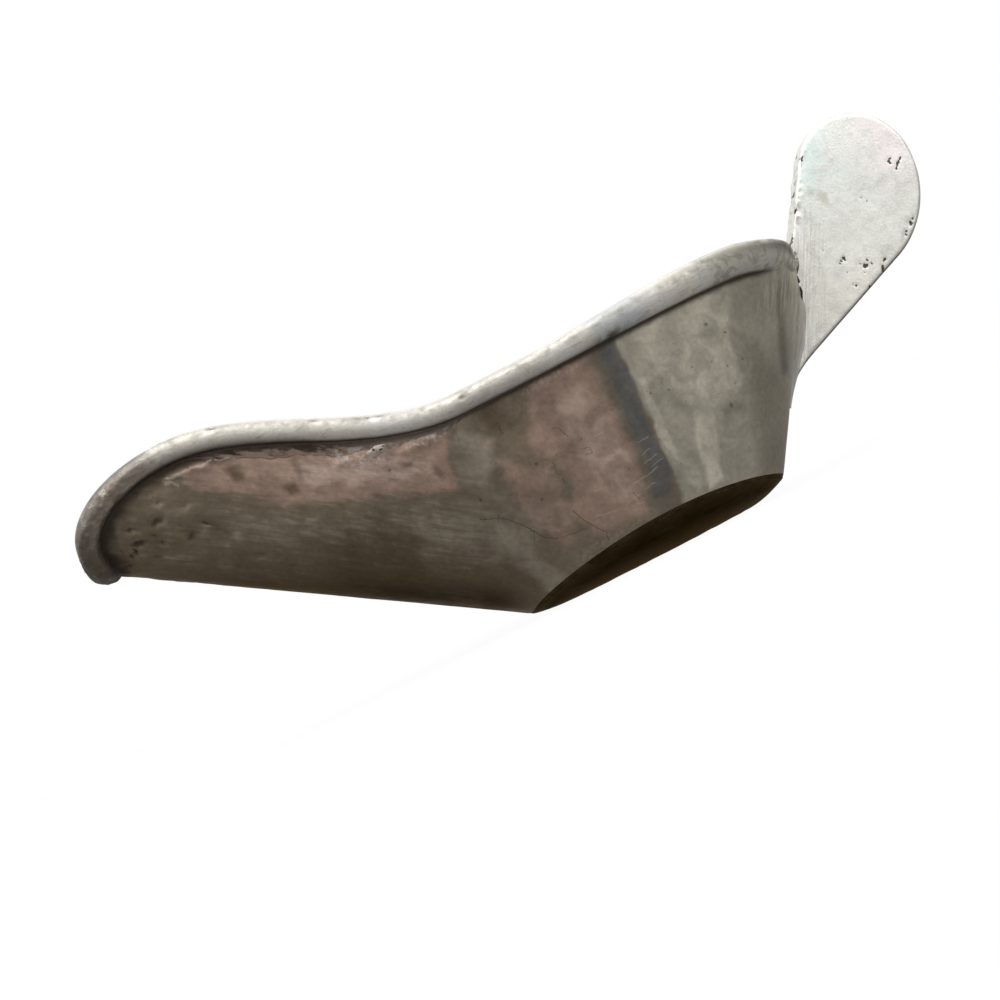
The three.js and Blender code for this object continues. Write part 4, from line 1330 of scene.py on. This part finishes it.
handleFinish = {
    "bright": (0.75, 0.75, 0.71),
    "green": (0.66, 0.74, 0.70),
    "pink": (0.77, 0.71, 0.70),
    "grey": (0.56, 0.54, 0.48),
    "warm": (0.82, 0.80, 0.70),
    # painted shade along the downward-facing edge
    "edge": (0.16, 0.13, 0.12),
    "brown": (0.40, 0.35, 0.27),
    "void": (0.03, 0.022, 0.018),
    "roughness": 0.38,
}


def makeHandleFinish():
    f = Finish("filed bright pewter of the handle", handleFinish)
    x, y, z = f.parts()
    sideView = f.sideView(1.6, 0.8)
    rootPit = ([(78.2, 43.0), (79.4, 43.8), (80.3, 45.2)], 0.7)
    pitted = f.times(f.marks(sideView, handlePits + [rootPit]), f.span(y, -0.5, -1.5))
    broad = f.noise(10, 4, warp=0.5)
    mottle = f.noise(3, 5, warp=0.4)
    fine = f.noise(0.45, 4)
    filed = f.noise(0.55, 4, stretch=(1, 1, 0.05), turn=-29)  # the file ran along the root
    f.colour = handleFinish["bright"]
    f.coat("green", f.span(x, 101, 92), f.span(z, 46, 55), f.span(mottle, 0.35, 0.62, 0.1, 1))
    f.coat("pink", f.span(x, 100, 108), f.span(z, 40, 52), 0.9)
    f.coat("warm", f.span(z, 46, 30), f.span(broad, 0.3, 0.6, 0.5, 1), 0.7)
    f.coat("grey", "rootward", f.span(filed, 0.42, 0.6, 0.1, 1.0), 0.6)
    f.coat("grey", f.span(f.noise(2.2, 6, warp=0.6), 0.48, 0.66), 0.34)
    soiled = f.marks(sideView, handle["soiled"])
    f.coat("brown", soiled, f.span(mottle, 0.45, 0.62, 0, 0.5))
    f.coat("grey", "rough", f.span(f.noise(0.8, 4), 0.42, 0.58, 0, 0.85))
    f.vary(fine, 0.25, 0.75, 0.94, 1.04)
    # painted shade along the downward-facing edge
    f.coat("edge", "downwardShade", f.span(mottle, 0.3, 0.5, 0.5, 1))
    # painted shade on the faces toward the bowl
    f.coat("grey", "fore", 0.25)
    f.coat("void", f.span("void", 0.2, 0.55))
    f.coat("void", f.span(pitted, 0.15, 0.55, 0, 0.92))
    height = f.plus(f.times(fine, 0.25), f.times(filed, f.plus("rootward", 0.12)))
    return f.done(f.rough(mottle, 0.06, 0.1), 0.85, height, 0.1)


handlePiece = makeHandle()
handlePiece.data.materials.append(makeHandleFinish())
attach(handlePiece, "root")
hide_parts("handle_plate")
print("handle", len(handlePiece.data.vertices), "points")


# Fillets of solder on both faces of the handle, filed smooth over the back of the band

fillet = {
    "start": 2,  # above the end of the foot
    "top": 0.3,  # above the edge of the wall
    "alongWall": 6,
    "alongHandle": 2.9,
    "atBand": 9,  # how far it spreads from the handle over the back of the band
    "rows": 120,
    "columns": 44,
}


# x of the back wall's outside at a distance y from the middle plane
def backOutline(y, z):
    y, z = np.broadcast_arrays(np.asarray(y, float), np.asarray(z, float))
    near = np.full(y.shape, float(hull["widestAt"]))
    far = backAt(z).copy()
    for _ in range(40):
        x = (near + far) / 2
        wide = halfWidth(x, z) > y
        near = np.where(wide, x, near)
        far = np.where(wide, far, x)
    return near


def makeFillet(side, name):
    v = np.linspace(0, 1, fillet["rows"])[:, None]
    s = np.linspace(0, 1, fillet["columns"])
    bottom = handle["footHeight"] + fillet["start"]
    rimX, rimZ = (float(value[0]) for value in rimPoint(np.array([0.0])))
    slope = math.hypot(1, hull["backLean"])
    z = lerp(bottom, rimZ + fillet["top"], v) + 0 * s
    share = lerp(0.35, 1, smooth(v, 0, 0.45))
    wider = fillet["atBand"] - fillet["alongWall"]
    spread = share * fillet["alongWall"] + wider * smooth(z[:, :1], 33, 40)
    y = handle["thickness"] / 2 - 0.1 + spread * s**1.5
    # the rim rises away from the middle, and the fillet's top follows it
    rise = rimLevel(backOutline(y, rimZ)) - rimLevel(rimX)
    z = z + rise * smooth(v, 0.6, 1)
    below = (rimZ + rise - z) * slope
    at = np.stack([backOutline(y, z), y, z], axis=-1)
    bulge = bandBulge(at) * (1 - band["filedOff"])
    middle = (band["heightBack"] - band["cap"]) / 2
    reach = (band["heightBack"] + band["cap"]) / 2
    upper = bulge * np.sqrt(np.clip(1 - ((middle - below) / reach) ** 2, 0, 1))
    lower = bulge * smooth(below, middle + reach + band["feather"], middle)
    proud = np.where(below < middle, upper, lower)
    concave = share * fillet["alongHandle"] * (1 - s) ** 2.2 * smooth(z, 41, 30)
    relief = 0.05 * swell(at, 3.5, 81) + 0.03 * swell(at, 1.1, 82)
    thickness = proud + concave + 0.26 * (1 - s**2) + (relief - 0.3 * s**4) * smooth(s, 0, 0.1)
    outBy = np.array([1, 0, -hull["backLean"]]) / slope
    outer = at + thickness[..., None] * outBy
    points = np.concatenate([outer, (at - 0.4 * outBy)[:, ::-1]], axis=1) * [1, side, 1]
    points = pressed(points)
    masks = {"wallward": np.append(s, np.zeros(len(s))), "void": crackAt(points)}
    return makePiece(name, points, tubeFaces(numbered(points)), masks)


filletFinish = {
    "bright": (0.66, 0.63, 0.57),
    "brown": (0.40, 0.365, 0.31),
    "dark": (0.12, 0.095, 0.075),
    "void": (0.02, 0.015, 0.012),
    "roughness": 0.38,
}


def makeFilletFinish():
    f = Finish("filed solder at the handle", filletFinish)
    mottle = f.noise(4, 4, warp=0.5)
    filed = f.noise(0.6, 4, stretch=(1, 1, 0.06), turn=-30)
    fine = f.noise(0.5, 4)
    f.colour = filletFinish["bright"]
    f.coat("brown", f.span(f.plus("wallward", f.span(mottle, 0.3, 0.7, -0.15, 0.15)), 0.2, 0.8))
    f.coat("dark", f.span(f.parts()[2], 40, 42.5), f.span(f.noise(1.2, 5), 0.42, 0.6), 0.8)
    f.vary(filed, 0.3, 0.7, 0.84, 1.12)
    f.coat("void", "void")
    height = f.plus(f.times(fine, 0.3), filed)
    return f.done(f.rough(mottle, 0.06, 0.08), 0.85, height, 0.12)


filletMaterial = makeFilletFinish()
for side, name, node in (
    (1, "handle_fillet_left", "handle_solder_left"),
    (-1, "handle_fillet_right", "handle_solder_right"),
):
    filletPiece = makeFillet(side, name)
    filletPiece.data.materials.append(filletMaterial)
    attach(filletPiece, "root")
    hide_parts(node)
print("fillets done")


# Studio: white surroundings, a pale floor, soft light from above and a darker room below

studio = {
    "target": (2.6, 0, 23.3),
    "distance": 330,
    "yaw": 12,  # degrees round toward the spout
    "elevation": -1.5,
    "roll": 26.7,
    "lens": 61.668,
    "sensor": 36,
    "above": 1.15,
    "level": 0.62,
    "below": 0.30,
    "floorSide": 3.0,  # metres
    "floorGlow": 0.96,  # share of plain white that the camera sees in the floor
    "lights": [  # name, place, aim and size in metres, power in watts
        ("high soft light", (-0.15, -0.25, 0.75), (0, 0, 0.03), 0.7, 5.0),
        ("side soft light", (0.45, -0.45, 0.35), (0.02, 0, 0.03), 0.35, 1.2),
    ],
}


def makeCamera():
    yaw, elevation, roll = (math.radians(studio[k]) for k in ("yaw", "elevation", "roll"))
    level = Vector((math.cos(yaw), -math.sin(yaw), 0))
    back = Vector((-math.sin(yaw), -math.cos(yaw), 0)) * math.cos(elevation)
    back.z = math.sin(elevation)
    upright = back.cross(level)
    right = level * math.cos(roll) - upright * math.sin(roll)
    up = level * math.sin(roll) + upright * math.cos(roll)
    x, y, z = studio["target"]
    place = Vector((x + cornerX, y, z)) * mm + back * studio["distance"] * mm
    data = bpy.data.cameras.new("camera")
    data.lens = studio["lens"]
    data.sensor_width = studio["sensor"]
    data.clip_start = 0.01
    camera = addObject("camera", data)
    camera.matrix_world = Matrix.Translation(place) @ Matrix((right, up, back)).transposed().to_4x4()
    bpy.context.scene.camera = camera


def evenGrey(value):
    return (value, value, value, 1)


def makeSurroundings():
    world = bpy.data.worlds.new("surroundings")
    bpy.context.scene.world = world
    world.use_nodes = True
    n = Nodes(world.node_tree)
    direction = n.add("TexCoord").outputs["Generated"]
    height = n.range(n.add("SeparateXYZ", {0: direction}).outputs[2], -0.6, 0.6, kind="LINEAR")
    ramp = n.add("ValToRGB", {0: height})
    ramp.color_ramp.interpolation = "EASE"
    ramp.color_ramp.elements.new(0.5)
    for stop, key in zip(ramp.color_ramp.elements, ("below", "level", "above")):
        stop.color = evenGrey(studio[key])
    seen = n.add("LightPath").outputs["Is Camera Ray"]
    n.put(n.tree.nodes["Background"].inputs["Color"], n.mix(seen, ramp.outputs[0], (1.0, 1.0, 1.0)))


def makeFloor():
    side = studio["floorSide"] / 2
    mesh = bpy.data.meshes.new("floor")
    corners = [(-side, -side, 0), (side, -side, 0), (side, side, 0), (-side, side, 0)]
    mesh.from_pydata(corners, [], [(0, 1, 2, 3)])
    floor = addObject("floor", mesh)
    material = bpy.data.materials.new("pale floor")
    material.use_nodes = True
    n = Nodes(material.node_tree)
    shader = n.tree.nodes["Principled BSDF"]
    grain = n.add("TexNoise", {"Scale": 60}).outputs["Fac"]
    tone = n.range(grain, 0, 1, 0.72, 0.78, kind="LINEAR")
    for key, value in (("Base Color", tone), ("Roughness", 0.9), ("Specular IOR Level", 0)):
        n.put(shader.inputs[key], value)
    glow = n.add("Emission", {"Strength": 1.0}).outputs[0]
    dim = n.add("Emission", {"Color": evenGrey(studio["below"])}).outputs[0]
    shown = n.add("MixShader", {0: studio["floorGlow"], 1: shader.outputs[0], 2: glow}).outputs[0]
    seen = n.add("LightPath").outputs["Is Camera Ray"]
    choice = n.add("MixShader", {0: seen, 1: dim, 2: shown}).outputs[0]
    n.put(n.tree.nodes["Material Output"].inputs["Surface"], choice)
    mesh.materials.append(material)


def makeLight(name, place, aim, size, power):
    data = bpy.data.lights.new(name, "AREA")
    data.shape = "DISK"
    data.size = size
    data.energy = power
    light = addObject(name, data)
    light.location = place
    light.rotation_euler = (Vector(aim) - Vector(place)).to_track_quat("-Z", "Y").to_euler()


makeCamera()
makeSurroundings()
makeFloor()
for settings in studio["lights"]:
    makeLight(*settings)
bpy.context.scene.view_settings.view_transform = "Standard"
print("studio done")
